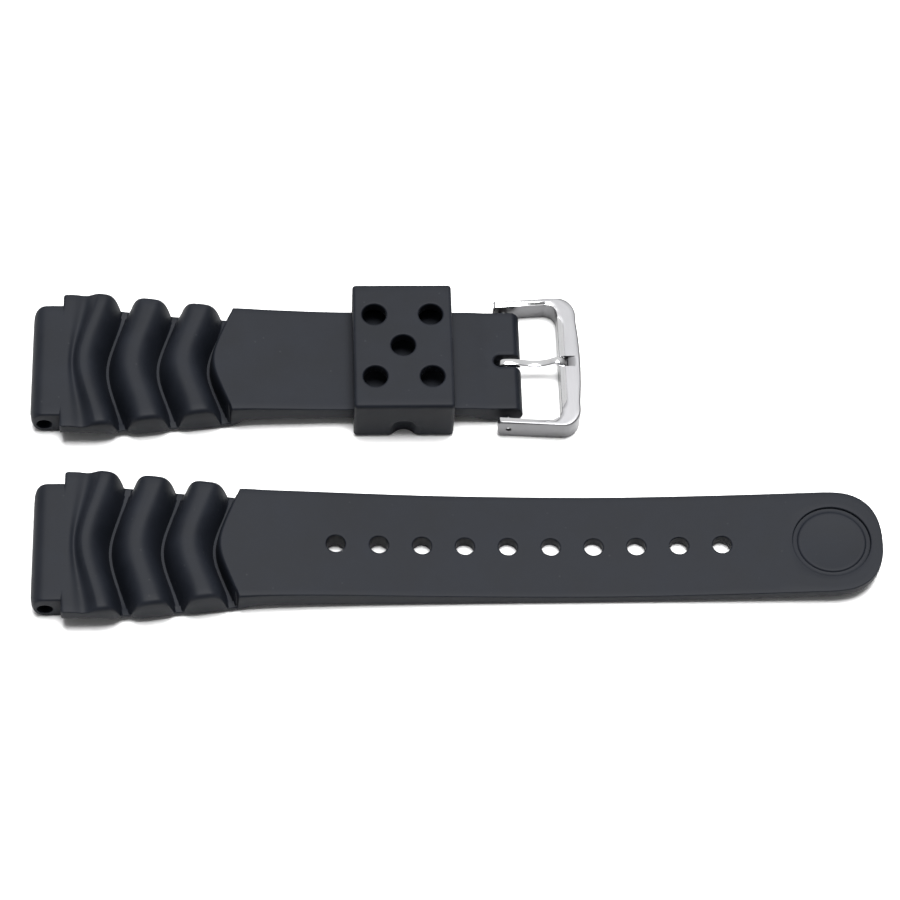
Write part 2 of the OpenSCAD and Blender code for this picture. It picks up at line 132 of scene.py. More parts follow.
class KeeperSizes(bpy.types.PropertyGroup):
    """Sizes of the keeper"""

    along: length("Length", "Length along the strap", KEEPER_HIGH.x - KEEPER_LOW.x)
    across: length("Width", "Width across the strap", KEEPER_HIGH.y - KEEPER_LOW.y)
    height: length("Height", "Height over the table", KEEPER_HIGH.z)
    top: length("Top", "Thickness of the top", 0.0018)
    base: length("Underside", "Thickness of the underside", 0.0014)
    side: length("Side", "Thickness of each side", 0.00185)
    hole: length("Hole", "Diameter of the five holes", 0.0041)
    hole_along: length("Holes along", "Spacing of the outer holes along the strap", 0.0096)
    hole_across: length("Holes across", "Spacing of the outer holes across the strap", 0.0124)


class BuckleSizes(bpy.types.PropertyGroup):
    """Sizes of the frame and the tongue"""

    height: length("Height", "Height of the frame", FRAME_HIGH.z)
    arm: length("Arm", "Thickness of an arm", 0.00125)
    bar: length("Bar", "Width of the bar under the tongue's tip", 0.0036)
    corner: length("Corner", "Outer corner radius", 0.0034)
    gap: length("Gap", "Gap between the looped end and each arm", 0.0014)
    flare: length("Flare", "How far each corner stands out past the end of its arm", 0.0006)
    bow: length("Bow", "How far the middle of the bar stands out", 0.0004)
    bevel: length("Bevel", "Width of the polished inner bevel", 0.00085)
    tongue_width: length("Tongue", "Width of the tongue", 0.0013)
    tongue_thickness: length("Tongue thickness", "Thickness of the tongue", 0.001)
    notch: length("Notch", "Width of the notch for the tongue's tip", 0.0018)
    notch_depth: length("Notch depth", "Depth of that notch", 0.001)


class StrapFinish(bpy.types.PropertyGroup):
    """Colours and light"""

    rubber: colour("Rubber", "Very dark blue-grey rubber", (0.0045, 0.0056, 0.0085, 1))
    rubber_pale: colour("Rubber bloom", "Paler bloom on the rubber", (0.0075, 0.009, 0.013, 1))
    steel: colour("Steel", "Steel of the buckle", (0.155, 0.155, 0.16, 1))
    steel_pale: colour("Polished steel", "Polished steel of the bevels and the tongue", (0.7, 0.7, 0.71, 1))
    floor: colour("Floor", "Pale table", (0.93, 0.93, 0.93, 1))
    sky: brightness("Sky", "Strength of the light tent all round", 0.22)
    backdrop: brightness("Backdrop", "Strength of the broad light behind", 0.9)
    glow: brightness("Overhead", "Strength of the light overhead", 27)


def clamp01(t):
    return min(1.0, max(0.0, t))


def ease(t):
    t = clamp01(t)
    return t * t * (3 - 2 * t)


def mix(a, b, t):
    return a + (b - a) * t


def steps(a, b, count):
    return [a + (b - a) * i / count for i in range(count + 1)]


def quarter(count):
    """Angles of a quarter turn, without the first."""
    return [math.pi / 2 * (i + 1) / count for i in range(count)]


def rounding(depth, radius):
    """How far an edge of this radius has dropped at a distance from its outer face."""
    d = max(0.0, radius - depth)
    return radius - math.sqrt(max(0.0, radius * radius - d * d))


class Skin:
    """Faces gathered patch by patch in millimetres and welded where their borders meet."""

    def __init__(self):
        self.points, self.faces, self.marks = [], [], []

    def grid(self, rows, close=False, mark=0):
        """Quads between rows of points. A closed row's last point joins its first."""
        base, n = len(self.points), len(rows[0])
        for row in rows:
            self.points.extend(row)
        for i in range(len(rows) - 1):
            a, b = base + i * n, base + (i + 1) * n
            for j in range(n if close else n - 1):
                k = (j + 1) % n
                self.faces.append((a + j, a + k, b + k, b + j))
                self.marks.append(mark(i, j) if callable(mark) else mark)

    def fan(self, loop, middle, mark=0):
        """Triangles from a closed loop to a point inside it."""
        base, n = len(self.points), len(loop)
        self.points.extend([*loop, middle])
        for j in range(n):
            self.faces.append((base + j, base + (j + 1) % n, base + n))
            self.marks.append(mark)

    def build(self, name, origin, materials, sharp=40):
        """The welded mesh as an object, smooth but for edges sharper than this many degrees."""
        mesh = bmesh.new()
        corners = [mesh.verts.new(origin + Vector(p) * MM) for p in self.points]
        for face, mark in zip(self.faces, self.marks):
            made = mesh.faces.new([corners[i] for i in face])
            made.material_index = mark
            made.smooth = True
        bmesh.ops.remove_doubles(mesh, verts=mesh.verts, dist=2e-6)
        bmesh.ops.recalc_face_normals(mesh, faces=mesh.faces)
        return finish_mesh(name, mesh, materials, sharp)


def finish_mesh(name, mesh, materials, sharp=40):
    """Turns a bmesh into an object in the scene."""
    for edge in mesh.edges:
        if len(edge.link_faces) == 2 and edge.calc_face_angle(0) > math.radians(sharp):
            edge.smooth = False
    data = bpy.data.meshes.new(name)
    mesh.to_mesh(data)
    mesh.free()
    for material in materials:
        data.materials.append(material)
    made = bpy.data.objects.new(name, data)
    bpy.context.scene.collection.objects.link(made)
    return made


def millimetres(group):
    """A property group's lengths in millimetres, by name."""
    return {
        key: getattr(group, key) / MM if isinstance(getattr(group, key), float) else getattr(group, key)
        for key in type(group).__annotations__
    }


class StrapShape:
    """Heights and widths of one moulded half, in millimetres from its lug end.

    In its methods s is the distance from the lug end, y the distance from the centre line, and
    out runs from 0 along the centre line to 1 at the edges.
    """

    # Ribs, their bow and the webs between them
    rib_pitch = 8.54
    first_web = 12.62
    rib_bow = 2.95
    bow_bend = 1.35
    bow_round = 0.5
    web_floor = 0.44
    web_pinch = 0.68
    web_raise = 0.5
    web_spread = 0.56
    # Crease behind the shoulders and step up to the plain part
    crease_depth = 0.5
    crease_reach = 0.6
    crease_rise = 0.5
    step_part = 0.28
    step_spread = 0.8
    # Underside of the plain part
    under_rise = 0.4
    tail_arch = 0.7
    arch_end = 70
    tail_curl = 1.9
    curl_start = 95
    held = 1.61
    # Underside at the edges, lifted most under the wings
    wing_lift = 2.9
    rib_lift = 0.9
    edge_lift = 0.06
    wing_end = 7
    wing_fade = 6.5
    lift_from = 0.45
    lift_reach = 0.51
    lift_power = 4.86
    lift_most = 0.6
    # Rounding of the edges
    edge = 0.15
    rib_edge = 0.7
    low_edge = 0.5
    step_edge = 0.3
    wing_edge = 0.4
    wing_inside = 0.2
    wing_over = 0.5
    edge_most = 0.45
    rib_edge_start = 3
    step_edge_reach = 30
    step_edge_fall = 4
    edge_form = 8
    # Looped end and its slot
    loop_below = 0.46
    loop_gap = 2.4
    slot = 1.2
    slot_run = 2.9
    slot_back = 2.25
    slot_side = 3.6
    slot_drop_depth = 0.16
    slot_drop_reach = 0.3
    # End faces, medallion and tip
    cap_height = 3.2
    medallion_back = 8
    tip_cell = 9.5
    tip_part = 0.58
    tip_out = 0.45
    tip_back = 1.2
    tip_square = 4.5

    def __init__(self, size, is_tail):
        self.size = size
        self.is_tail = is_tail
        self.long = size["tail_length"] if is_tail else size["buckle_length"]
        self.arch_half = (self.rib_pitch - self.web_floor) / 2
        self.last_web = self.first_web + 2 * self.rib_pitch
        self.first_crest = self.first_web - self.rib_pitch / 2
        self.crease_x = self.first_crest - self.arch_half / 3
        self.rise_x = self.crease_x - self.crease_rise
        self.step_len = self.arch_half * self.step_part
        self.plain_start = self.last_web + self.web_floor / 2 + self.step_len
        self.tip_len = size["tail_width"] * self.tip_part
        self.centre = size["hole_pitch"] / 2 if is_tail else self.slot_side
        self.axle_x = (AXLE.x - BUCKLE_ORIGIN.x) / MM
        self.loop_low = AXLE.z / MM - size["loop"] * self.loop_below
        self.loop_start = (KEEPER_HIGH.x - BUCKLE_ORIGIN.x) / MM + self.loop_gap
        self.slot_x = self.axle_x - self.slot_back + self.slot
        self.across = 12 if is_tail else 24

    def bow_at(self, y, half):
        """Sweep of a rib at y, where the strap is this half wide."""
        curve = self.rib_bow * self.bow_bend
        pointed = (math.hypot(y, curve) - curve) / (math.hypot(half, curve) - curve)
        return self.rib_bow * mix(pointed, ease(abs(y) / half), self.bow_round)

    def bow_share(self, s):
        """How much of the bow is there: none at the lug end, all at the ribs, none on the plain part."""
        lug = self.size["lug_length"]
        fades = 1 - ease((s - self.plain_start) / self.rib_pitch)
        return ease((s - lug) / (self.crease_x - lug + 1)) * fades

    def rib_share(self, s, out=0.0):
        """Arch of a rib, from the web floor up. The webs are wider at the edges."""
        if s < self.first_crest:
            return 1.0
        if s < self.last_web:
            u = s - self.first_crest
            u = abs(u - self.rib_pitch * round(u / self.rib_pitch)) / (self.arch_half - self.web_spread * out)
            return 1 - min(1.0, u) ** (3 + out)
        return 0.0 if s < self.last_web + self.web_floor / 2 else 1.0

    def step_share(self, s, out=0.0):
        """Rise from the last web to the plain part, steeper at the edges."""
        spread = self.step_spread * out
        t = (s - self.last_web - self.web_floor / 2 - spread) / (self.step_len - spread)
        return 1 - (1 - clamp01(t)) ** 3

    def low(self, s):
        """Height of the underside."""
        past = s - self.plain_start + self.step_len / 2
        height = self.plain_low(s) * ease(past / self.rib_pitch / self.under_rise)
        if not self.is_tail and s > self.axle_x:
            height = max(height, self.loop_middle() - self.end_half(s))
        return height

    def plain_low(self, s):
        """Height at which the underside of the plain part is held."""
        if self.is_tail:
            arched = 1 - ease((s - self.plain_start) / (self.arch_end - self.plain_start))
            curled = clamp01((s - self.curl_start) / (self.long - self.curl_start)) ** 1.5
            return self.tail_arch * arched + self.tail_curl * curled
        return self.held + (self.loop_low - self.held) * ease((s - self.loop_start) / self.size["loop"])

    def loop_middle(self):
        """Height of the middle of the looped end."""
        return self.loop_low + self.size["loop"] / 2

    def end_half(self, s):
        """Half height of the rounded end round the spring bar."""
        reach = self.long - self.axle_x
        return math.sqrt(max(0.0, reach * reach - (s - self.axle_x) ** 2))

    def thick(self, s):
        """Thickness of the plain part."""
        size = self.size
        thin_x = self.curl_start if self.is_tail else (KEEPER_LOW.x - BUCKLE_ORIGIN.x) / MM
        thinned = ease((s - self.plain_start) / (thin_x - self.plain_start))
        if self.is_tail:
            return mix(size["plain"], size["tail"], thinned)
        thick = mix(size["plain"], size["under_keeper"], thinned)
        return thick + (size["loop"] - size["under_keeper"]) * ease((s - self.loop_start) / size["loop"])

    def top(self, s, out=0.0):
        """Height of the top."""
        size = self.size
        if s < self.first_crest:
            rise = ease((s - self.rise_x) / (self.first_crest - self.rise_x))
            crease = self.crease_depth * math.exp(-(((s - self.crease_x) / self.crease_reach) ** 2))
            return mix(size["shoulder_height"], size["rib_height"], rise) - crease
        if s < self.last_web:
            web = size["web"] + self.web_raise * self.near_shoulder(s) * out
            return mix(web, size["rib_height"], self.rib_share(s, out))
        height = mix(size["web"], self.plain_low(s) + self.thick(s), self.step_share(s, out))
        if not self.is_tail and s > self.axle_x:
            height = min(height, self.loop_middle() + self.end_half(s))
        return height

    def near_shoulder(self, s, webs=1):
        """Falls from 1 at the first web to 0 so many webs further on."""
        return 1 - clamp01((s - self.first_web) / self.rib_pitch / webs)

    def taper(self, s):
        """Half width from the shoulders to the end of the ribs."""
        size = self.size
        share = 1 - clamp01((s - self.first_crest) / (self.plain_start - self.first_crest))
        return mix(size["strap_width"] / 2, size["shoulder_width"] / 2, share)

    def half(self, s):
        """Half width."""
        size = self.size
        if s < self.plain_start:
            share = self.rib_share(s, 1.0) if s < self.last_web else self.step_share(s, 1.0)
            return self.taper(s) - self.web_pinch * self.near_shoulder(s, 2) * (1 - share)
        end = (size["tail_width"] if self.is_tail else size["loop_width"]) / 2
        return end + (size["strap_width"] / 2 - end) * math.exp(-(s - self.plain_start) / self.rib_pitch / 2)

    def lift(self, s):
        """Lift of the underside at the edges, most under the wings of the shoulders."""
        height = mix(self.wing_lift, self.rib_lift, ease((s - self.wing_end) / self.wing_fade))
        return mix(height, self.edge_lift, ease((s - self.first_web) / self.rib_pitch / 2))

    def slot_drop(self, s, y):
        """Rounding beside the slot for the tongue."""
        if self.is_tail:
            return 0.0
        gap = abs(y) - self.slot if s > self.slot_x else math.hypot(s - self.slot_x, y) - self.slot
        return self.slot_drop_depth * max(0.0, 1 - max(0.0, gap) / self.slot_drop_reach) ** 2

    def softness(self, s):
        """Radius of the upper edge, largest at the ends of the ribs."""
        ridge = self.rib_share(s, 1.0) if s < self.last_web else 0.0
        crested = ease((s - self.crease_x) / self.arch_half * self.rib_edge_start)
        stepped = clamp01((s - self.last_web) / self.step_len)
        faded = clamp01((s - self.plain_start) / self.step_edge_reach)
        stepped *= math.exp(-faded * self.step_edge_fall)
        return self.edge + self.rib_edge * ridge * crested + self.step_edge * stepped

    def edges(self, s, zt, zb, soft):
        """Lift of the underside's edge, and the radii of the upper and the lower edge."""
        up = min(self.lift(s), (zt - zb) * self.lift_most)
        most = max(0.0, (zt - zb - up) * self.edge_most)
        return up, min(soft, most), min(self.low_edge, most)

    def before_slot(self, s, y, share):
        """Where a point in the last rows before the slot goes, so that they end on its round end."""
        turned = self.slot * math.sin(math.pi / 2 * max(-1.0, min(1.0, y / self.slot)))
        y = mix(y, turned, share)
        end = self.slot_x - math.sqrt(max(0.0, self.slot**2 - y * y))
        start = self.slot_x - self.slot_run
        return start + (s - start) * (end - start) / (self.slot_x - start), y

    def ring(self, s, into_slot=0.0):
        """One closed row of points: centre of the top, one edge, centre of the underside, other edge."""
        w, zt, zb = self.half(s), self.top(s, 1.0), self.low(s)
        up, r, rb = self.edges(s, zt, zb, self.softness(s))
        front = rounding(s - self.size["lug_length"], self.wing_edge)
        w -= front
        bow = self.bow_share(s)
        lug = self.size["lug_width"] / 2

        def place(y, z):
            along = s
            if into_slot and abs(y) < self.slot + 1e-6:
                along, y = self.before_slot(s, y, into_slot)
            over_wing = front * ease((abs(y) - lug + self.wing_inside) / self.wing_over)
            drop = self.slot_drop(along, y)
            z = z - over_wing - drop if z > (zt + zb) / 2 else z + over_wing + drop
            return (along + bow * self.bow_at(y, self.taper(s)), y, z)

        def high(y):
            return self.top(s, min(1.0, abs(y) / (w - r)) ** self.edge_form)

        def under(y):
            share = clamp01((abs(y) / w - self.lift_from) / self.lift_reach)
            return zb + up * share**self.lift_power

        ys = steps(-self.centre, self.centre, self.across)
        out = steps(self.centre, w - r, 7)[1:]
        inward = steps(w - rb, self.centre, 7)[:-1]
        edge = [(y, high(y)) for y in out]
        edge += [(w - r + r * math.sin(a), zt - r + r * math.cos(a)) for a in quarter(4)]
        wall = steps(zt - r, zb + up + rb, 3)
        edge += [(w, z) for z in wall[1:]]
        edge += [(w - rb + rb * math.cos(a), zb + up + rb - rb * math.sin(a)) for a in quarter(3)]
        edge += [(y, under(y)) for y in inward[1:]]
        top = [place(y, high(y)) for y in ys]
        bottom = [place(y, under(y)) for y in reversed(ys)]
        plus = [place(y, z) for y, z in edge]
        minus = [place(-y, z) for y, z in reversed(edge)]
        return top, plus, bottom, minus

    def rib_stations(self):
        """Stations over the shoulders and ribs, close together on the flanks."""
        lug, wing = self.size["lug_length"], self.wing_edge
        gap, least_gap, in_web, past_step, step_rows = 0.15, 0.1, 0.4, 0.3, 22
        made = [lug + wing * (1 - math.cos(a)) for a in [0.0, *quarter(5)]]
        made += [lug + wing + gap * i for i in range(1, 20)]
        shares = [math.sin(math.radians(a)) for a in range(-90, 91, 5)]
        floor = self.web_floor / 2
        crest = [self.first_crest + self.arch_half * u for u in shares]
        made += [s for s in crest if s > made[-1] + least_gap]
        for i in range(2):
            web = self.first_web + i * self.rib_pitch
            made += [web - floor * in_web, web + floor * in_web]
            made += [web + self.rib_pitch / 2 + self.arch_half * u for u in shares]
        made += [self.last_web - floor * in_web, self.last_web + floor * in_web]
        start, run = self.last_web + floor, self.step_len + past_step
        return made + [start + run * i / step_rows for i in range(step_rows + 1)]


def lug_end(skin, size):
    """Lug end: a block with a rounded nose and the bore for the watch's spring bar."""
    h, long, half = size["shoulder_height"], size["lug_length"], size["lug_width"] / 2
    nose, r = 2.3, 0.35
    corner_wide, corner_deep = 2.1, 0.75
    bore_x, bore_z, bore_r, rim = 2.35, 2.3, size["bore"] / 2, 0.1
    path = [((x, h), (0, 1)) for x in steps(long, nose, 4)]
    path += [
        ((nose - nose * math.sin(a), h - nose + nose * math.cos(a)), (-math.sin(a), math.cos(a)))
        for a in quarter(9)
    ]
    path += [((0, z), (-1, 0)) for z in steps(h - nose, nose, 3)[1:]]
    path += [
        ((nose - nose * math.cos(a), nose - nose * math.sin(a)), (-math.cos(a), -math.sin(a)))
        for a in quarter(9)
    ]
    path += [((x, 0), (0, -1)) for x in steps(nose, long, 4)[1:]]
    turn = [0.0, *quarter(6)]
    rows, loop = [], []
    for p, n in path:
        nosed = clamp01(-n[0]) ** 2
        wide, deep = mix(r, corner_wide, nosed), mix(r, corner_deep, nosed)
        edge = [(half - wide + wide * math.sin(a), deep * (1 - math.cos(a))) for a in turn]
        columns = [(-y, d) for y, d in reversed(edge)]
        columns += [(y, 0) for y in steps(-half + wide, half - wide, 18)[1:-1]] + edge
        rows.append([(p[0] - n[0] * d, y, p[1] - n[1] * d) for y, d in columns])
        loop.append((p[0] - n[0] * deep, p[1] - n[1] * deep))
    skin.grid(rows)
    loop += [(long, z) for z in steps(r, h - r, 8)[1:-1]]
    angles = [math.atan2(z - bore_z, x - bore_x) for x, z in loop]

    def circle(radius, y):
        return [(bore_x + radius * math.cos(a), y, bore_z + radius * math.sin(a)) for a in angles]

    outer = circle(bore_r + rim, half)
    rows = []
    for t in (0, 0.35, 0.7, 1):
        rows.append([(mix(x, o[0], t), half, mix(z, o[2], t)) for (x, z), o in zip(loop, outer)])
    for a in quarter(4):
        rows.append(circle(bore_r + rim - rim * math.sin(a), half - rim + rim * math.cos(a)))
    mirrored = [[(x, -y, z) for x, y, z in row] for row in reversed(rows)]
    inner = [circle(bore_r, y) for y in steps(half - rim, -half + rim, 8)[1:-1]]
    skin.grid(rows + inner + mirrored, close=True)


def strap_rows(shape, stations):
    """Whole closed rows of a half at these stations."""
    rows = []
    for s in stations:
        top, plus, bottom, minus = shape.ring(s)
        rows.append([*top, *plus, *bottom, *minus])
    return rows


def hole_cell(shape, skin, middle, radius, rim):
    """A square of the plain part with a round hole through it."""
    reach, n = shape.centre, shape.across
    sides = steps(-reach, reach, n)[:-1]
    square = [(t, -reach) for t in sides] + [(reach, t) for t in sides]
    square += [(-t, reach) for t in sides] + [(-reach, -t) for t in sides]
    angles = [math.radians(-135) + 2 * math.pi * k / len(square) for k in range(len(square))]

    def ring(t, radius, drop, height, sign):
        made = []
        for (x, y), a in zip(square, angles):
            px, py = mix(radius * math.cos(a), x, t), mix(radius * math.sin(a), y, t)
            made.append((middle + px, py, height(middle + px) - sign * drop))
        return made

    halves = []
    for height, sign in ((shape.top, 1), (shape.low, -1)):
        rows = [ring(t, radius + rim, 0, height, sign) for t in (1, 0.72, 0.46, 0.24, 0.08, 0)]
        for a in quarter(4):
            rows.append(ring(0, radius + rim - rim * math.sin(a), rim * (1 - math.cos(a)), height, sign))
        halves.append(rows)
    top, bottom = halves
    wall = upright(top[-1], bottom[-1], (0.33, 0.66))
    skin.grid(top + wall + bottom[::-1], close=True)


def tip_outline(shape, start):
    """Points and outward normals round the tip, from one edge of the tail to the other."""
    w, long, reach = shape.half(start), shape.long, shape.tip_len
    dense = [(x, w) for x in steps(start, long - reach, 60)]
    for i in range(1, 400):
        a = math.pi / 2 * i / 400
        x, y = long - reach + reach * math.sin(a) ** (2 / shape.tip_square), math.cos(a) ** 0.9
        dense.append((x + shape.tip_out - shape.tip_back * y**3, w * y))
    dense.append((long + shape.tip_out, 0))
    dense += [(x, -y) for x, y in reversed(dense[:-1])]
    run = [0.0]
    for a, b in zip(dense, dense[1:]):
        run.append(run[-1] + math.dist(a, b))
    count, made, j = 92, [], 0
    for i in range(count + 1):
        want = run[-1] * i / count
        while j < len(run) - 2 and run[j + 1] < want:
            j += 1
        t = (want - run[j]) / max(1e-9, run[j + 1] - run[j])
        made.append((mix(dense[j][0], dense[j + 1][0], t), mix(dense[j][1], dense[j + 1][1], t)))
    normals = []
    for i in range(count + 1):
        a, b = made[max(0, i - 1)], made[min(count, i + 1)]
        dx, dy = b[0] - a[0], b[1] - a[1]
        size = math.hypot(dx, dy)
        normals.append((-dy / size, dx / size))
    normals[0], normals[-1] = (0, 1), (0, -1)
    return list(zip(made, normals))


def tip(shape, skin, start):
    """Tip of the tail with its round medallion recess."""
    size = shape.size
    centre, radius = shape.long - shape.medallion_back, size["medallion"] / 2
    top, plus, bottom, minus = shape.ring(start)
    up, r, rb = shape.edges(start, shape.top(start), shape.low(start), shape.edge)
    rows = []
    for (x, y), (nx, ny) in tip_outline(shape, start):

        def at(d, z):
            return (x - nx * d, y - ny * d, z)

        low, high = shape.low(x), shape.top(x)
        row = [at(r, high)]
        row += [at(r - r * math.sin(a), high - r + r * math.cos(a)) for a in quarter(4)]
        wall = steps(high - r, low + up + rb, 3)
        row += [at(0, z) for z in wall[1:]]
        row += [at(rb - rb * math.cos(a), low + up + rb - rb * math.sin(a)) for a in quarter(3)]
        rows.append(row)
    skin.grid(rows)
    border = [*minus[-7:], *top, *plus[:7], *(row[0] for row in rows[1:-1])]
    angles = [math.atan2(y, x - centre) for x, y, z in border]
    rim, deep = 0.18, size["medallion_depth"]

    def circle(rho, drop):
        made = []
        for a in angles:
            x = centre + rho * math.cos(a)
            made.append((x, rho * math.sin(a), shape.top(x) - drop))
        return made

    rings = [border]
    outer = circle(radius + rim, 0)
    for t in (0.35, 0.7):
        blend = [(mix(p[0], q[0], t), mix(p[1], q[1], t)) for p, q in zip(border, outer)]
        rings.append([(x, y, shape.top(x)) for x, y in blend])
    rings.append(outer)
    for a in quarter(4):
        rings.append(circle(radius + rim - rim * math.sin(a), rim * (1 - math.cos(a))))
    profile = [(0.06, deep), (0.2, deep + 0.03), (0.6, deep + 0.03), (0.74, deep), (0.86, deep * 0.62)]
    profile += [(1.0, deep * 0.5), (1.2, deep * 0.47), (1.5, deep * 0.5)]
    for inset, drop in profile:
        rings.append(circle(radius - inset, drop))
    for share in (0.85, 0.68, 0.5, 0.34, 0.18, 0.07):
        rings.append(circle((radius - 1.5) * share, deep * (0.5 + 0.28 * (1 - share * share))))
    skin.grid(rings, close=True)
    skin.fan(rings[-1], (centre, 0, shape.top(centre) - deep * 0.78))
    flat = [row[-1] for row in rows[1:-1]]
    under = [*plus[-6:], *bottom, *minus[:6]]
    first, last = rows[0][-1], rows[-1][-1]
    loop = [first, *under, last, *reversed(flat)]
    inner = []
    for t in (0.25, 0.55, 0.85):
        ring = []
        for x, y, z in loop:
            px, py = mix(x, centre, t), y * (1 - t)
            ring.append((px, py, shape.low(px) + (z - shape.low(x)) * (1 - t) ** 5))
        inner.append(ring)
    skin.grid([loop, *inner], close=True)
    skin.fan(inner[-1], (centre, 0, shape.low(centre)))


def tail_half_mesh(size, material):
    """The long half: lug end, shoulders, ribs, ten holes and the tip with its medallion."""
    shape, skin = StrapShape(size, True), Skin()
    lug_end(skin, size)
    reach, count, n = shape.centre, size["hole_count"], shape.across
    holes_start = size["first_hole"] - reach
    holes_end = holes_start + 2 * reach * count
    tip_start = shape.long - shape.medallion_back - shape.tip_cell
    stations = shape.rib_stations() + steps(shape.plain_start, holes_start, 14)[1:]
    rows = strap_rows(shape, stations)
    skin.grid(rows, close=True)
    skin.fan(rows[0], (stations[0], 0, shape.cap_height))
    plus_rows, minus_rows = [], []
    for s in steps(holes_start, holes_end, n * count):
        top, plus, bottom, minus = shape.ring(s)
        plus_rows.append([top[-1], *plus, bottom[0]])
        minus_rows.append([bottom[-1], *minus, top[0]])
    skin.grid(plus_rows)
    skin.grid(minus_rows)
    for i in range(count):
        hole_cell(shape, skin, size["first_hole"] + i * 2 * reach, size["hole"] / 2, 0.22)
    skin.grid(strap_rows(shape, steps(holes_end, tip_start, 6)), close=True)
    tip(shape, skin, tip_start)
    return skin.build("tail_rubber", TAIL_ORIGIN, [material])


def buckle_half_mesh(size, material):
    """The short half: lug end, shoulders, ribs and the looped end with its slot."""
    shape, skin = StrapShape(size, False), Skin()
    lug_end(skin, size)
    slot_from = shape.slot_x - shape.slot_run
    stations = shape.rib_stations() + steps(shape.plain_start, slot_from, 40)[1:]
    rows = strap_rows(shape, stations)
    skin.grid(rows, close=True)
    skin.fan(rows[0], (stations[0], 0, shape.cap_height))
    rows = []
    for i, s in enumerate(steps(slot_from, shape.slot_x, 14)):
        top, plus, bottom, minus = shape.ring(s, into_slot=max(1e-9, i / 14))
        rows.append([*top, *plus, *bottom, *minus])
    skin.grid(rows, close=True)
    ys = steps(-shape.centre, shape.centre, shape.across)
    inner = [i for i, y in enumerate(ys) if abs(y) < shape.slot + 1e-6]
    first, last = inner[0], inner[-1]
    skin.grid(upright(top[first : last + 1], bottom[::-1][first : last + 1]))
    straight = shape.long - shape.axle_x
    flat = math.sqrt(straight**2 - (size["loop"] / 2) ** 2)
    ends = steps(shape.slot_x, shape.axle_x + flat, 8)
    limit = math.asin(flat / straight)
    ends += [shape.axle_x + straight * math.sin(mix(limit, math.pi / 2, (i + 1) / 9)) for i in range(9)]
    plus_rows, minus_rows, walls = [], [], ([], [])
    for s in ends:
        top, plus, bottom, minus = shape.ring(s)
        flipped = bottom[::-1]
        plus_rows.append([*top[last:], *plus, *reversed(flipped[last:])])
        minus_rows.append([*reversed(flipped[: first + 1]), *minus, *top[: first + 1]])
        walls[0].append((top[first], flipped[first]))
        walls[1].append((top[last], flipped[last]))
    skin.grid(plus_rows)
    skin.grid(minus_rows)
    for wall in walls:
        skin.grid(upright([a for a, b in wall], [b for a, b in wall]))
    return skin.build("buckle_rubber", BUCKLE_ORIGIN, [material])


def upright(top, bottom, shares=(0.0, 0.2, 0.4, 0.6, 0.8, 1.0)):
    """Rows of points from a line on the top to the same line on the underside."""
    return [[tuple(mix(a[i], b[i], t) for i in range(3)) for a, b in zip(top, bottom)] for t in shares]


class KeeperShape:
    """The keeper as an outer and an inner skin, in millimetres from its middle."""

    corner = 0.65
    inner_corner = 0.35
    end = 0.6
    mouth = 0.15
    scoop = 2.3
    scoop_depth = 1.39
    scoop_height = 5.0
    middle_row = 3.1
    counts = (16, 14, 16)

    def __init__(self, size):
        self.size = size
        self.half_long = size["along"] / 2
        self.half_wide = size["across"] / 2
        self.in_wide = self.half_wide - size["side"]
        self.in_low, self.in_high = size["base"], size["height"] - size["top"]

    def columns(self, edge):
        """Lines across the top, those between the rows of holes fixed."""
        bounds = [-edge, -self.middle_row, self.middle_row, edge]
        made = [bounds[0]]
        for a, b, n in zip(bounds, bounds[1:], self.counts):
            made += steps(a, b, n)[1:]
        return made

    def corner_box(self, sx, sy, flat, wide):
        """Rectangle of the top round an outer hole, from the middle row to an edge."""
        return (*sorted((0, sx * flat)), *sorted((sy * self.middle_row, sy * wide)))

    def loop(self, wide, low, high, corner, edge, x, scooped):
        """Top columns, one side, the underside and the other side."""
        top = [(x, y, high) for y in self.columns(edge)]
        side = [(edge + corner * math.sin(a), high - corner + corner * math.cos(a)) for a in quarter(6)]
        side += [(wide, z) for z in steps(high - corner, low + corner, 22)[1:]]
        side += [(edge + corner * math.cos(a), low + corner - corner * math.sin(a)) for a in quarter(6)]
        side += [(y, low) for y in steps(edge, 0, 12)[1:]]
        made = []
        for y, z in side:
            if scooped:
                y = min(y, self.half_wide - self.scooped(x, z))
            made.append((x, y, z))
        other = [(x, -y, z) for x, y, z in reversed(made[:-1])]
        return top, made + other

    def scooped(self, x, z):
        """Depth of the groove in each side."""
        up = max(0.0, z - self.scoop_height + self.scoop)
        inside = self.scoop**2 - x * x - up * up
        return max(0.0, math.sqrt(max(0.0, inside)) - self.scoop + self.scoop_depth)

    def outer(self, x):
        """Rows of the outer skin at x."""
        e = rounding(self.half_long - abs(x), self.end)
        corner = max(self.corner - e, 0.25)
        wide = self.half_wide - e
        return self.loop(wide, e, self.size["height"] - e, corner, wide - corner, x, True)

    def inner(self, x):
        """Rows of the inner skin at x, widened at its mouths."""
        e = -rounding(self.half_long - abs(x), self.mouth)
        corner = self.inner_corner - e
        wide = self.in_wide - e
        return self.loop(wide, self.in_low + e, self.in_high - e, corner, wide - corner, x, False)


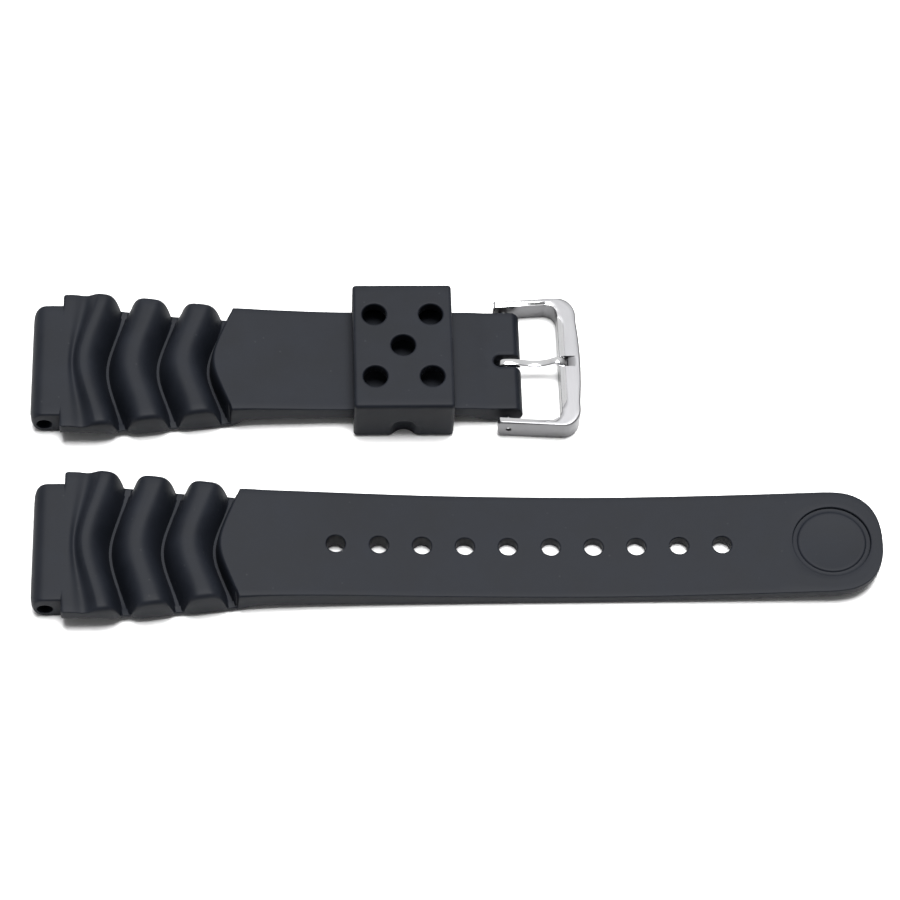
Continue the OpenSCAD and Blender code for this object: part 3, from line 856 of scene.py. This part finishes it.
def keeper_cell(skin, size, box, counts, hole, outer_box):
    """A rectangle of the keeper's top with a round hole through it, outer skin to inner skin."""
    nx, ny = counts
    total = 2 * (nx + ny)
    start = math.radians(-90) - math.pi / 2 * nx / (nx + ny)
    angles = [start + 2 * math.pi * k / total for k in range(total)]

    def border(x0, x1, y0, y1):
        made = [(x, y0) for x in steps(x0, x1, nx)[:-1]] + [(x1, y) for y in steps(y0, y1, ny)[:-1]]
        return made + [(x, y1) for x in steps(x1, x0, nx)[:-1]] + [(x0, y) for y in steps(y1, y0, ny)[:-1]]

    radius, rim, low_rim = size["hole"] / 2, 0.28, 0.12
    low, high = size["height"] - size["top"], size["height"]
    above, below = border(*outer_box), border(*box)

    def ring(loop, t, rho, z):
        return [
            (mix(hole[0] + rho * math.cos(a), x, t), mix(hole[1] + rho * math.sin(a), y, t), z)
            for (x, y), a in zip(loop, angles)
        ]

    rows = [ring(above, t, radius + rim, high) for t in (1, 0.7, 0.42, 0.2, 0.06, 0)]
    for a in quarter(5):
        rows.append(ring(above, 0, radius + rim - rim * math.sin(a), high - rim + rim * math.cos(a)))
    for z in steps(high - rim, low + low_rim, 4)[1:]:
        rows.append(ring(below, 0, radius, z))
    for a in quarter(3):
        rho = radius + low_rim - low_rim * math.cos(a)
        rows.append(ring(below, 0, rho, low + low_rim - low_rim * math.sin(a)))
    rows += [ring(below, t, radius + low_rim, low) for t in (0.25, 0.6, 1)]
    skin.grid(rows, close=True)


def keeper_mesh(size, material):
    """The keeper: one moulded loop with five holes and a scoop in each side."""
    shape, skin = KeeperShape(size), Skin()
    long = shape.half_long
    turn = [0.0, *quarter(5)]
    flat_out, flat_in = long - shape.end, long - shape.mouth
    ends_out = [long - shape.end * (1 - math.cos(a)) for a in turn]
    ends_in = [long - shape.mouth * (1 - math.cos(a)) for a in turn]
    across = [-1 + 2 * i / 32 for i in range(33)]
    for ends, flat, skin_at in ((ends_out, flat_out, shape.outer), (ends_in, flat_in, shape.inner)):
        middle = [flat * t for t in across]
        tops, rest = [], []
        for x in [-x for x in ends] + middle[1:-1] + ends[::-1]:
            top, side = skin_at(x)
            tops.append(top)
            rest.append([top[-1], *side, top[0]])
        skin.grid(rest)
        skin.grid(tops[: len(ends)])
        skin.grid(tops[-len(ends) :])
    for x in (-long, long):
        rows = []
        for top, side in (shape.outer(x), shape.inner(x)):
            rows.append([*top, *side])
        skin.grid(rows, close=True)
    hx, hy = size["hole_along"] / 2, size["hole_across"] / 2
    wide_out, wide_in = shape.half_wide - shape.corner, shape.in_wide - shape.inner_corner
    for sx in (-1, 1):
        for sy in (-1, 1):
            box_in = shape.corner_box(sx, sy, flat_in, wide_in)
            box_out = shape.corner_box(sx, sy, flat_out, wide_out)
            keeper_cell(skin, size, box_in, (16, 16), (sx * hx, sy * hy), box_out)
    row = shape.middle_row
    box_in, box_out = (-flat_in, flat_in, -row, row), (-flat_out, flat_out, -row, row)
    keeper_cell(skin, size, box_in, (32, 14), (0, 0), box_out)
    middle = Vector(((KEEPER_LOW.x + KEEPER_HIGH.x) / 2, BUCKLE_ORIGIN.y, 0))
    return skin.build("keeper_rubber", middle, [material])


def frame_stations(size, start, end, half_end):
    """Places round the frame from arm to arm.

    Each is an outer point, an inner point, the bevel's share of its width and 1 on the bar.
    """
    arm, corner = size["arm"], size["corner"]
    out_y, corner_y = half_end - size["flare"], half_end - corner
    in_r, bar_in, half_notch = corner - arm, end - size["bar"], size["notch"] / 2
    out_x, in_x = end - corner, bar_in - in_r
    close_at_end = (0, 0.004, 0.014, 0.03, 0.052, 0.08, 0.11, 0.14, 0.2, 0.3, 0.42, 0.55, 0.68, 0.8, 0.9, 1)
    turns, fade = 15, 1.6
    made = []
    for t in close_at_end:
        outer = (mix(start, out_x, t), mix(out_y, half_end, t))
        inner = (mix(start, in_x, t), mix(out_y - arm, half_end - arm, t))
        made.append((outer, inner, 1.0, 0.0))
    for i in range(1, turns):
        a = math.pi / 2 * i / turns
        outer = (out_x + corner * math.sin(a), corner_y + corner * math.cos(a))
        inner = (in_x + in_r * math.sin(a), corner_y + in_r * math.cos(a))
        made.append((outer, inner, max(0.0, 1 - fade * i / turns), i / turns))
    for y in steps(corner_y, half_notch + 0.12, 14) + [half_notch, half_notch * 0.5, 0]:
        made.append(((end, y), (bar_in, y), clamp01((corner_y - y) / fade), 1.0))
    return made + [((o[0], -o[1]), (i[0], -i[1]), b, c) for o, i, b, c in reversed(made[:-1])]


def frame_section(size, span, low, high, bevel_share):
    """Section of the frame from its inner to its outer face, and where its flat top ends.

    A point is its distance outwards, its height and 1 where the polished bevel is.
    """
    least_bevel, slope, edge_r, wide, tall = 0.04, 0.3, 0.22, 0.3, 0.35
    fit = (high - low) / size["height"]
    bevel = min(max(least_bevel, size["bevel"] * bevel_share), span * 0.66)
    fall, edge = bevel * slope * fit, edge_r * fit
    round_w, round_h = max(wide / 2, min(wide, span - bevel - 0.05)), tall * fit
    flat = span - round_w
    made = [(edge, low, 0), (0, low + edge, 0)]
    made += [(0, mix(low + edge, high - fall, 0.5), 0), (0, high - fall - 0.03, 0)]
    made += [(0.05, high - fall + 0.04, 1), (bevel - 0.04, high - 0.02, 1), (bevel + 0.03, high, 0)]
    made += [(mix(bevel + 0.03, flat, t), high, 0) for t in (0.25, 0.5, 0.75, 1)]
    for a in quarter(7):
        made.append((flat + round_w * math.sin(a), high - round_h + round_h * math.cos(a), 0))
    made += [(span, mix(high - round_h, low + edge, 0.5), 0), (span, low + edge, 0), (span - edge, low, 0)]
    return made + [(mix(span - edge, edge, t), low, 0) for t in (0.33, 0.66)], flat


def notched(size, section, flat):
    """The same section with the notch for the tongue's tip cut into its top."""
    h = size["height"]
    floor, deep_to = h - size["notch_depth"], size["bar"] * 0.42
    on_floor, on_wall = 0.7, 0.85
    over = [i for i, (u, z, m) in enumerate(section) if z > floor - 1e-6 and u < flat + 1e-6]
    made = list(section)
    for n, i in enumerate(over):
        u, z, m = section[i]
        share = n / (len(over) - 1)
        if share < on_floor:
            made[i] = (deep_to * share / on_floor, floor, m)
        elif share < on_wall:
            made[i] = (deep_to + 0.04, floor + (h - floor) * 0.6, m)
        else:
            made[i] = (max(u, deep_to + 0.08), h, m)
    return made


def frame_mesh(size, brushed, polished):
    """The buckle's frame: a bar and two arms in one sweep, with a polished inner bevel."""
    start, end = (FRAME_LOW.x - BUCKLE_ORIGIN.x) / MM, (FRAME_HIGH.x - BUCKLE_ORIGIN.x) / MM
    half_end = (FRAME_HIGH.y - FRAME_LOW.y) / MM / 2
    out_x, h = end - size["corner"], size["height"]
    under_end, over_end, bow_reach, sharp = 1.4, 0.6, 8, 28
    rows, marks = [], []
    for (x, y), inner, bevel_share, bar_share in frame_stations(size, start, end, half_end):
        if x > out_x:
            x -= size["bow"] * min(1.0, abs(y) / bow_reach) ** 2 * ease((x - out_x) / size["corner"])
        d = max(0.0, x - start)
        low, high = (rounding(d, under_end), h - rounding(d, over_end)) if x < out_x else (0.0, h)
        span = math.dist((x, y), inner)
        way = ((x - inner[0]) / span, (y - inner[1]) / span)
        section, flat = frame_section(size, span, low, high, bevel_share)
        if abs(y) <= size["notch"] / 2 + 1e-6 and bar_share == 1.0:
            section = notched(size, section, flat)
        rows.append([(inner[0] + way[0] * u, inner[1] + way[1] * u, z) for u, z, m in section])
        marks.append([m for u, z, m in section])
    skin = Skin()
    count, bevel_foot = len(rows[0]), 3

    def mark(i, j):
        return 1 if marks[i][j] or (marks[i][(j + 1) % count] and j == bevel_foot) else 0

    skin.grid(rows, close=True, mark=mark)
    for row in (rows[0], rows[-1]):
        skin.fan(row, middle_of(row))
    made = skin.build("buckle_frame_steel", BUCKLE_ORIGIN, [brushed, polished], sharp=sharp)
    drill(made, ((AXLE.x - BUCKLE_ORIGIN.x) / MM, AXLE.z / MM), 0.5, half_end + 1, sharp)
    return made


def middle_of(row):
    """Mean of a row of points."""
    return tuple(sum(p[i] for p in row) / len(row) for i in range(3))


def drill(made, axis, radius, half, sharp):
    """Drills the holes that hold the tips of the spring bar."""
    tool = Skin()
    x, z = axis
    turn = steps(0, 2 * math.pi, 40)[:-1]
    rings = [[(x + radius * math.cos(a), y, z + radius * math.sin(a)) for a in turn] for y in (-half, half)]
    tool.grid(rings, close=True)
    for ring in rings:
        tool.fan(ring, (x, ring[0][1], z))
    cutter = tool.build("drill", BUCKLE_ORIGIN, [])
    cut = made.modifiers.new("holes", "BOOLEAN")
    cut.operation, cut.solver, cut.object = "DIFFERENCE", "EXACT", cutter
    bpy.context.view_layer.update()
    graph = bpy.context.evaluated_depsgraph_get()
    data = bpy.data.meshes.new_from_object(made.evaluated_get(graph))
    made.modifiers.clear()
    data.set_sharp_from_angle(angle=math.radians(sharp))
    made.data = data
    bpy.data.objects.remove(cutter)


def smooth_point(four, t):
    """A point at t on the smooth curve between the middle two of four points."""
    return tuple(
        0.5 * (2 * b + (c - a) * t + (2 * a - 5 * b + 4 * c - d) * t * t + (3 * b - a - 3 * c + d) * t**3)
        for a, b, c, d in zip(*four)
    )


def flat_oval(half_wide, half_thick):
    """Points round a section with flat faces and rounded edges."""
    count, square_across, square_over = 28, 0.32, 0.42
    made = []
    for k in range(count):
        c, s = math.cos(2 * math.pi * k / count), math.sin(2 * math.pi * k / count)
        y, n = math.copysign(abs(c) ** square_across, c), math.copysign(abs(s) ** square_over, s)
        made.append((half_wide * y, half_thick * n))
    return made


def tongue_line(size, long):
    """Middle line of the tongue round the axle and on to its tip: along, up, and its thickness's share."""
    thick = size["tongue_thickness"]
    rest = size["height"] - size["notch_depth"] + 0.05 - AXLE.z / MM
    tube_r, curl_from, curl_to, curl_steps = 0.95, -62, -270, 32
    curl = tube_r + thick / 2
    shares = [0, 0.1, 0.2, 0.3, 0.41, 0.52, 0.63, 0.74, 0.83, 0.91, 1]
    waves = [0, 0, -0.16, -0.4, -0.62, -0.7, -0.52, -0.16, 0.26, 0.3, 0]
    thins = [1, 1, 1, 1, 1, 1, 1, 1, 1, 0.9, 0.6]
    line = []
    for i in range(curl_steps + 1):
        a = math.radians(mix(curl_from, curl_to, i / curl_steps))
        line.append((curl * math.cos(a), curl * math.sin(a), mix(0.55, 1, clamp01(i / 6))))
    knots = []
    for p, wave, thin in zip(shares, waves, thins):
        under = mix(curl - thick / 2, rest, ease(p)) + wave * thick
        knots.append((p * long, under + thin * thick / 2, thin))
    for i in range(len(knots) - 1):
        four = [knots[max(0, min(len(knots) - 1, i + k))] for k in (-1, 0, 1, 2)]
        line += [smooth_point(four, t) for t in (0.25, 0.5, 0.75, 1.0)]
    return line


def tongue_mesh(size, material):
    """The tongue: one strip curled round the tube, its shank waved and thinned to a tip."""
    thick, wide = size["tongue_thickness"], size["tongue_width"]
    end = (FRAME_HIGH.x - BUCKLE_ORIGIN.x) / MM
    axle_x, axle_z = (AXLE.x - BUCKLE_ORIGIN.x) / MM, AXLE.z / MM
    line = tongue_line(size, end - size["bar"] * 0.7 - axle_x)
    rows = []
    for i, (x, z, thin) in enumerate(line):
        a, b = line[max(0, i - 1)], line[min(len(line) - 1, i + 1)]
        run = math.hypot(b[0] - a[0], b[1] - a[1])
        nx, nz = -(b[1] - a[1]) / run, (b[0] - a[0]) / run
        oval = flat_oval(wide / 2, thick * thin / 2)
        rows.append([(axle_x + x + nx * n, y, axle_z + z + nz * n) for y, n in oval])
    r = thick * thin / 2
    for a in quarter(4)[:-1]:
        oval = flat_oval(wide / 2 - r * (1 - math.cos(a)) * 0.6, r * math.cos(a))
        rows.append([(axle_x + x + r * math.sin(a), y, axle_z + z + n) for y, n in oval])
    skin = Skin()
    skin.grid(rows, close=True)
    for row in (rows[0], rows[-1]):
        skin.fan(row, middle_of(row))
    return skin.build("tongue_steel", BUCKLE_ORIGIN, [material], sharp=50)


def add(tree, kind, place, sockets=None, **settings):
    """A node with its settings by name and the values of its sockets by name or number."""
    node = tree.nodes.new(kind)
    node.location = place
    for key, value in settings.items():
        setattr(node, key, value)
    for key, value in (sockets or {}).items():
        node.inputs[key].default_value = value
    return node


def link(tree, *ends):
    """Links, each given as its node and output and then its node and input."""
    for source, output, target, socket in ends:
        tree.links.new(source.outputs[output], target.inputs[socket])


def new_group(name, sockets, outputs):
    """A node group with its ends. Each socket has a name, a kind and a default."""
    tree = bpy.data.node_groups.new(name, "ShaderNodeTree")
    for title, kind, default in sockets:
        made = tree.interface.new_socket(title, in_out="INPUT", socket_type="NodeSocket" + kind)
        made.default_value = default
    for title in outputs:
        tree.interface.new_socket(title, in_out="OUTPUT", socket_type="NodeSocketFloat")
    return tree, add(tree, "NodeGroupInput", (-900, 0)), add(tree, "NodeGroupOutput", (500, 0))


def new_material(name, settings):
    """A material with these values in its shader, its node tree and that shader."""
    material = bpy.data.materials.new(name)
    material.use_nodes = True
    shader = material.node_tree.nodes["Principled BSDF"]
    for key, value in settings.items():
        shader.inputs[key].default_value = value
    return material, material.node_tree, shader


def grain_group():
    """Fine moulded grain: a height, a slow mottle and small specks."""
    name = "moulded_grain"
    if name in bpy.data.node_groups:
        return bpy.data.node_groups[name]
    scales = (("Grain", "Float", 2600), ("Mottle", "Float", 180), ("Speck", "Float", 900))
    tree, start, end = new_group(name, scales, ("Height", "Mottle", "Specks"))
    where = add(tree, "ShaderNodeTexCoord", (-900, 300))
    fine = add(tree, "ShaderNodeTexNoise", (-600, 300), {"Detail": 3, "Roughness": 0.6})
    slow = add(tree, "ShaderNodeTexNoise", (-600, 0), {"Detail": 4})
    dots = add(tree, "ShaderNodeTexVoronoi", (-600, -300))
    shade = add(tree, "ShaderNodeSeparateColor", (-480, -560))
    cut = add(tree, "ShaderNodeMapRange", (-350, -300), {"From Min": 0.16, "From Max": 0.05})
    pick = add(tree, "ShaderNodeMapRange", (-350, -560), {"From Min": 0.86, "From Max": 0.9})
    both = add(tree, "ShaderNodeMath", (-100, -300), operation="MULTIPLY")
    for node, scale in ((fine, "Grain"), (slow, "Mottle"), (dots, "Speck")):
        link(tree, (where, "Object", node, "Vector"), (start, scale, node, "Scale"))
    link(tree, (dots, "Color", shade, 0), (shade, 0, pick, "Value"), (dots, "Distance", cut, "Value"))
    link(tree, (cut, 0, both, 0), (pick, 0, both, 1), (both, 0, end, "Specks"))
    link(tree, (fine, "Fac", end, "Height"), (slow, "Fac", end, "Mottle"))
    return tree


def rubber_material(finish, name="moulded_rubber"):
    """Satin moulded rubber with a fine grain, a faint bloom and a little dust."""
    if name in bpy.data.materials:
        return bpy.data.materials[name]
    material, tree, shader = new_material(name, {"Specular IOR Level": 0.12})
    scales = {"Grain": 3200, "Mottle": 160, "Speck": 700}
    grain = add(tree, "ShaderNodeGroup", (-700, 0), scales, node_tree=grain_group())
    spread = add(tree, "ShaderNodeMapRange", (-560, 300), {"From Min": 0.3, "From Max": 0.7})
    tones = {"A": finish.rubber, "B": finish.rubber_pale}
    tint = add(tree, "ShaderNodeMix", (-400, 200), tones, data_type="RGBA")
    dust = add(tree, "ShaderNodeMix", (-200, 200), {"B": (0.05, 0.052, 0.055, 1)}, data_type="RGBA")
    less = add(tree, "ShaderNodeMath", (-400, -60), {1: 0.2}, operation="MULTIPLY")
    gloss = add(tree, "ShaderNodeMapRange", (-400, -220), {"To Min": 0.5, "To Max": 0.62})
    bump = add(tree, "ShaderNodeBump", (-200, -300), {"Strength": 0.22, "Distance": 0.00005})
    link(tree, (grain, "Mottle", spread, "Value"), (spread, 0, tint, "Factor"), (tint, "Result", dust, "A"))
    link(tree, (grain, "Specks", less, 0), (less, 0, dust, "Factor"), (dust, "Result", shader, "Base Color"))
    link(tree, (grain, "Mottle", gloss, "Value"), (gloss, 0, shader, "Roughness"))
    link(tree, (grain, "Height", bump, "Height"), (bump, "Normal", shader, "Normal"))
    return material


def brush_group():
    """Fine parallel scratches: a height and a mask, stretched along one axis."""
    name = "fine_scratches"
    if name in bpy.data.node_groups:
        return bpy.data.node_groups[name]
    sockets = (("Stretch", "Vector", (1, 1, 1)), ("Scale", "Float", 1500))
    tree, start, end = new_group(name, sockets, ("Height", "Wear"))
    where = add(tree, "ShaderNodeTexCoord", (-900, 300))
    stretch = add(tree, "ShaderNodeVectorMath", (-700, 200), operation="MULTIPLY")
    fine = add(tree, "ShaderNodeTexNoise", (-450, 200), {"Detail": 4, "Roughness": 0.65})
    slow = add(tree, "ShaderNodeTexNoise", (-450, -100), {"Scale": 260, "Detail": 3})
    link(tree, (where, "Object", stretch, 0), (start, "Stretch", stretch, 1), (stretch, 0, fine, "Vector"))
    link(tree, (start, "Scale", fine, "Scale"), (where, "Object", slow, "Vector"))
    link(tree, (fine, "Fac", end, "Height"), (slow, "Fac", end, "Wear"))
    return tree


def steel_material(name, tone, stretch, scale, strength, rough):
    """Steel with parallel scratches, from brushed to nearly mirror bright."""
    if name in bpy.data.materials:
        return bpy.data.materials[name]
    material, tree, shader = new_material(name, {"Metallic": 1})
    sizes = {"Stretch": stretch, "Scale": scale}
    marks = add(tree, "ShaderNodeGroup", (-700, 0), sizes, node_tree=brush_group())
    dim, smooth, worn = 0.86, 0.8, 1.25
    tones = {"A": [c * dim for c in tone[:3]] + [1], "B": tone}
    tint = add(tree, "ShaderNodeMix", (-300, 200), tones, data_type="RGBA")
    gloss = add(tree, "ShaderNodeMapRange", (-300, -40), {"To Min": rough * smooth, "To Max": rough * worn})
    bump = add(tree, "ShaderNodeBump", (-300, -300), {"Strength": strength, "Distance": 0.00003})
    link(tree, (marks, "Height", tint, "Factor"), (tint, "Result", shader, "Base Color"))
    link(tree, (marks, "Wear", gloss, "Value"), (gloss, 0, shader, "Roughness"))
    link(tree, (marks, "Height", bump, "Height"), (bump, "Normal", shader, "Normal"))
    return material


def brushed_steel(finish):
    """Brushed steel of the frame's top and sides."""
    return steel_material("scratched_steel", finish.steel, (1, 0.03, 1), 5200, 0.5, 0.34)


def polished_steel(finish):
    """Polished steel of the bevels, the tongue and the spring bar."""
    return steel_material("bright_steel", finish.steel_pale, (1, 0.4, 1), 900, 0.05, 0.12)


class DIVESTRAP_OT_tail_half(bpy.types.Operator):
    """Build the long half with its ribs, holes and medallion"""

    bl_idname = "dive_strap.tail_half"
    bl_label = "Tail half"

    def execute(self, context):
        scene = context.scene
        made = tail_half_mesh(millimetres(scene.strap_sizes), rubber_material(scene.strap_finish))
        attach(made, "tail_strap")
        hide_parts("strap_tail_half")
        return {"FINISHED"}


class DIVESTRAP_OT_buckle_half(bpy.types.Operator):
    """Build the short half with its ribs and the looped end for the spring bar"""

    bl_idname = "dive_strap.buckle_half"
    bl_label = "Buckle half"

    def execute(self, context):
        scene = context.scene
        made = buckle_half_mesh(millimetres(scene.strap_sizes), rubber_material(scene.strap_finish))
        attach(made, "buckle_strap")
        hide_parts("strap_buckle_half")
        return {"FINISHED"}


class DIVESTRAP_OT_keeper(bpy.types.Operator):
    """Build the moulded keeper with its five holes"""

    bl_idname = "dive_strap.keeper"
    bl_label = "Keeper"

    def execute(self, context):
        scene = context.scene
        made = keeper_mesh(millimetres(scene.keeper_sizes), rubber_material(scene.strap_finish))
        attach(made, "keeper")
        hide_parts("keeper_loop")
        return {"FINISHED"}


class DIVESTRAP_OT_buckle_frame(bpy.types.Operator):
    """Build the steel frame with its brushed top and polished bevels"""

    bl_idname = "dive_strap.buckle_frame"
    bl_label = "Buckle frame"

    def execute(self, context):
        scene = context.scene
        finish = scene.strap_finish
        made = frame_mesh(millimetres(scene.buckle_sizes), brushed_steel(finish), polished_steel(finish))
        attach(made, "frame")
        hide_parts("buckle_frame")
        return {"FINISHED"}


class DIVESTRAP_OT_tongue(bpy.types.Operator):
    """Build the polished tongue curled round the spring bar"""

    bl_idname = "dive_strap.tongue"
    bl_label = "Tongue"

    def execute(self, context):
        scene = context.scene
        made = tongue_mesh(millimetres(scene.buckle_sizes), polished_steel(scene.strap_finish))
        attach(made, "tongue")
        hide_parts("buckle_tongue")
        return {"FINISHED"}


class DIVESTRAP_OT_spring_bar(bpy.types.Operator):
    """Give the tube, the plungers and the coil of the spring bar their steel"""

    bl_idname = "dive_strap.spring_bar"
    bl_label = "Spring bar"

    def execute(self, context):
        steel = polished_steel(context.scene.strap_finish)
        for name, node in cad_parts.items():
            if name.startswith("spring_bar"):
                node.data.materials.clear()
                node.data.materials.append(steel)
        return {"FINISHED"}


class DIVESTRAP_OT_stage(bpy.types.Operator):
    """Lay the pale table, light it softly and place the camera"""

    bl_idname = "dive_strap.stage"
    bl_label = "Stage"

    def execute(self, context):
        finish = context.scene.strap_finish
        stage_floor(finish)
        stage_light(finish)
        stage_camera()
        context.scene.view_settings.view_transform = "Standard"
        return {"FINISHED"}


def stage_floor(finish):
    """A wide pale table under the strap."""
    mesh = bmesh.new()
    bmesh.ops.create_grid(mesh, x_segments=8, y_segments=8, size=1.5)
    material, tree, shader = new_material("pale_table", {"Specular IOR Level": 0.1, "Roughness": 0.9})
    noise = add(tree, "ShaderNodeTexNoise", (-500, 0), {"Scale": 9})
    tones = {"A": finish.floor, "B": [min(1, c * 1.015) for c in finish.floor]}
    tint = add(tree, "ShaderNodeMix", (-250, 0), tones, data_type="RGBA")
    link(tree, (noise, "Fac", tint, "Factor"), (tint, "Result", shader, "Base Color"))
    table = finish_mesh("table", mesh, [material])
    table.location.z = -0.00002
    table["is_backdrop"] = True


def sky_light(tree, row, direction, inner, outer, low, high):
    """Strength of the sky: high up to the inner angle from a direction, low past the outer one."""
    aim = {1: Vector(direction).normalized()}
    toward = add(tree, "ShaderNodeVectorMath", (-700, row), aim, operation="DOT_PRODUCT")
    span = {"From Min": math.cos(math.radians(outer)), "From Max": math.cos(math.radians(inner))}
    span.update({"To Min": low, "To Max": high})
    glow = add(tree, "ShaderNodeMapRange", (-450, row), span, interpolation_type="SMOOTHSTEP")
    where = add(tree, "ShaderNodeTexCoord", (-900, row))
    link(tree, (where, "Generated", toward, 0), (toward, "Value", glow, "Value"))
    return glow


def stage_light(finish):
    """A light tent with a soft overhead light and a broad pale backdrop behind."""
    world = bpy.data.worlds.new("light_tent")
    world.use_nodes = True
    tree = world.node_tree
    sky = tree.nodes["Background"]
    sky.inputs["Color"].default_value = (1, 1, 1, 1)
    overhead = sky_light(tree, 0, (0.05, 0.16, 1), 4, 22, 0, finish.glow)
    backdrop = sky_light(tree, -300, (-0.1, 1, 0.9), 20, 70, finish.sky, finish.backdrop)
    both = add(tree, "ShaderNodeMath", (-200, 0), operation="ADD")
    link(tree, (overhead, 0, both, 0), (backdrop, 0, both, 1), (both, 0, sky, "Strength"))
    bpy.context.scene.world = world


def stage_camera():
    """The camera at the photograph's viewing angle, for a square picture."""
    azimuth, elevation, roll = math.radians(-5.796), math.radians(58.971), math.radians(4.639)
    away = 0.54436
    target = Vector((-0.00012, 0.001939, 0.00095))
    back = Vector((
        math.sin(azimuth) * math.cos(elevation), -math.cos(azimuth) * math.cos(elevation), math.sin(elevation)
    ))
    right = Vector((0, 0, 1)).cross(back).normalized()
    up = back.cross(right)
    across = right * math.cos(roll) + up * math.sin(roll)
    upward = up * math.cos(roll) - right * math.sin(roll)
    lens = bpy.data.cameras.new("camera")
    lens.sensor_width, lens.lens = 36, 129.06
    lens.clip_start, lens.clip_end = 0.01, 10
    made = bpy.data.objects.new("camera", lens)
    turn = Matrix((across, upward, back)).transposed().to_4x4()
    made.matrix_world = Matrix.Translation(target + back * away) @ turn
    bpy.context.scene.collection.objects.link(made)
    bpy.context.scene.camera = made


class DIVESTRAP_PT_panel(bpy.types.Panel):
    """Sizes, finish and pieces of the dive strap"""

    bl_label = "Dive strap"
    bl_idname = "DIVESTRAP_PT_panel"
    bl_space_type = "VIEW_3D"
    bl_region_type = "UI"
    bl_category = "Dive strap"

    def draw(self, context):
        scene = context.scene
        for group in (scene.strap_sizes, scene.keeper_sizes, scene.buckle_sizes, scene.strap_finish):
            box = self.layout.box()
            for key in type(group).__annotations__:
                box.prop(group, key)
        for operator in OPERATORS:
            self.layout.operator(operator.bl_idname)


GROUPS = {
    "strap_sizes": StrapSizes,
    "keeper_sizes": KeeperSizes,
    "buckle_sizes": BuckleSizes,
    "strap_finish": StrapFinish,
}
OPERATORS = (
    DIVESTRAP_OT_tail_half,
    DIVESTRAP_OT_buckle_half,
    DIVESTRAP_OT_keeper,
    DIVESTRAP_OT_buckle_frame,
    DIVESTRAP_OT_tongue,
    DIVESTRAP_OT_spring_bar,
    DIVESTRAP_OT_stage,
)


def register():
    for group in (*GROUPS.values(), *OPERATORS, DIVESTRAP_PT_panel):
        bpy.utils.register_class(group)
    for name, group in GROUPS.items():
        setattr(bpy.types.Scene, name, PointerProperty(type=group))


def unregister():
    for name in GROUPS:
        delattr(bpy.types.Scene, name)
    for group in (DIVESTRAP_PT_panel, *reversed(OPERATORS), *reversed(GROUPS.values())):
        bpy.utils.unregister_class(group)


def main():
    register()
    for operator in OPERATORS:
        group, name = operator.bl_idname.split(".")
        getattr(getattr(bpy.ops, group), name)()
    bpy.context.view_layer.update()
    boxes = {"cad": CAD_BOX, "visual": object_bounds()}
    {key: [list(corner) for corner in box] for key, box in boxes.items()}


if __name__ == "__main__":
    main()
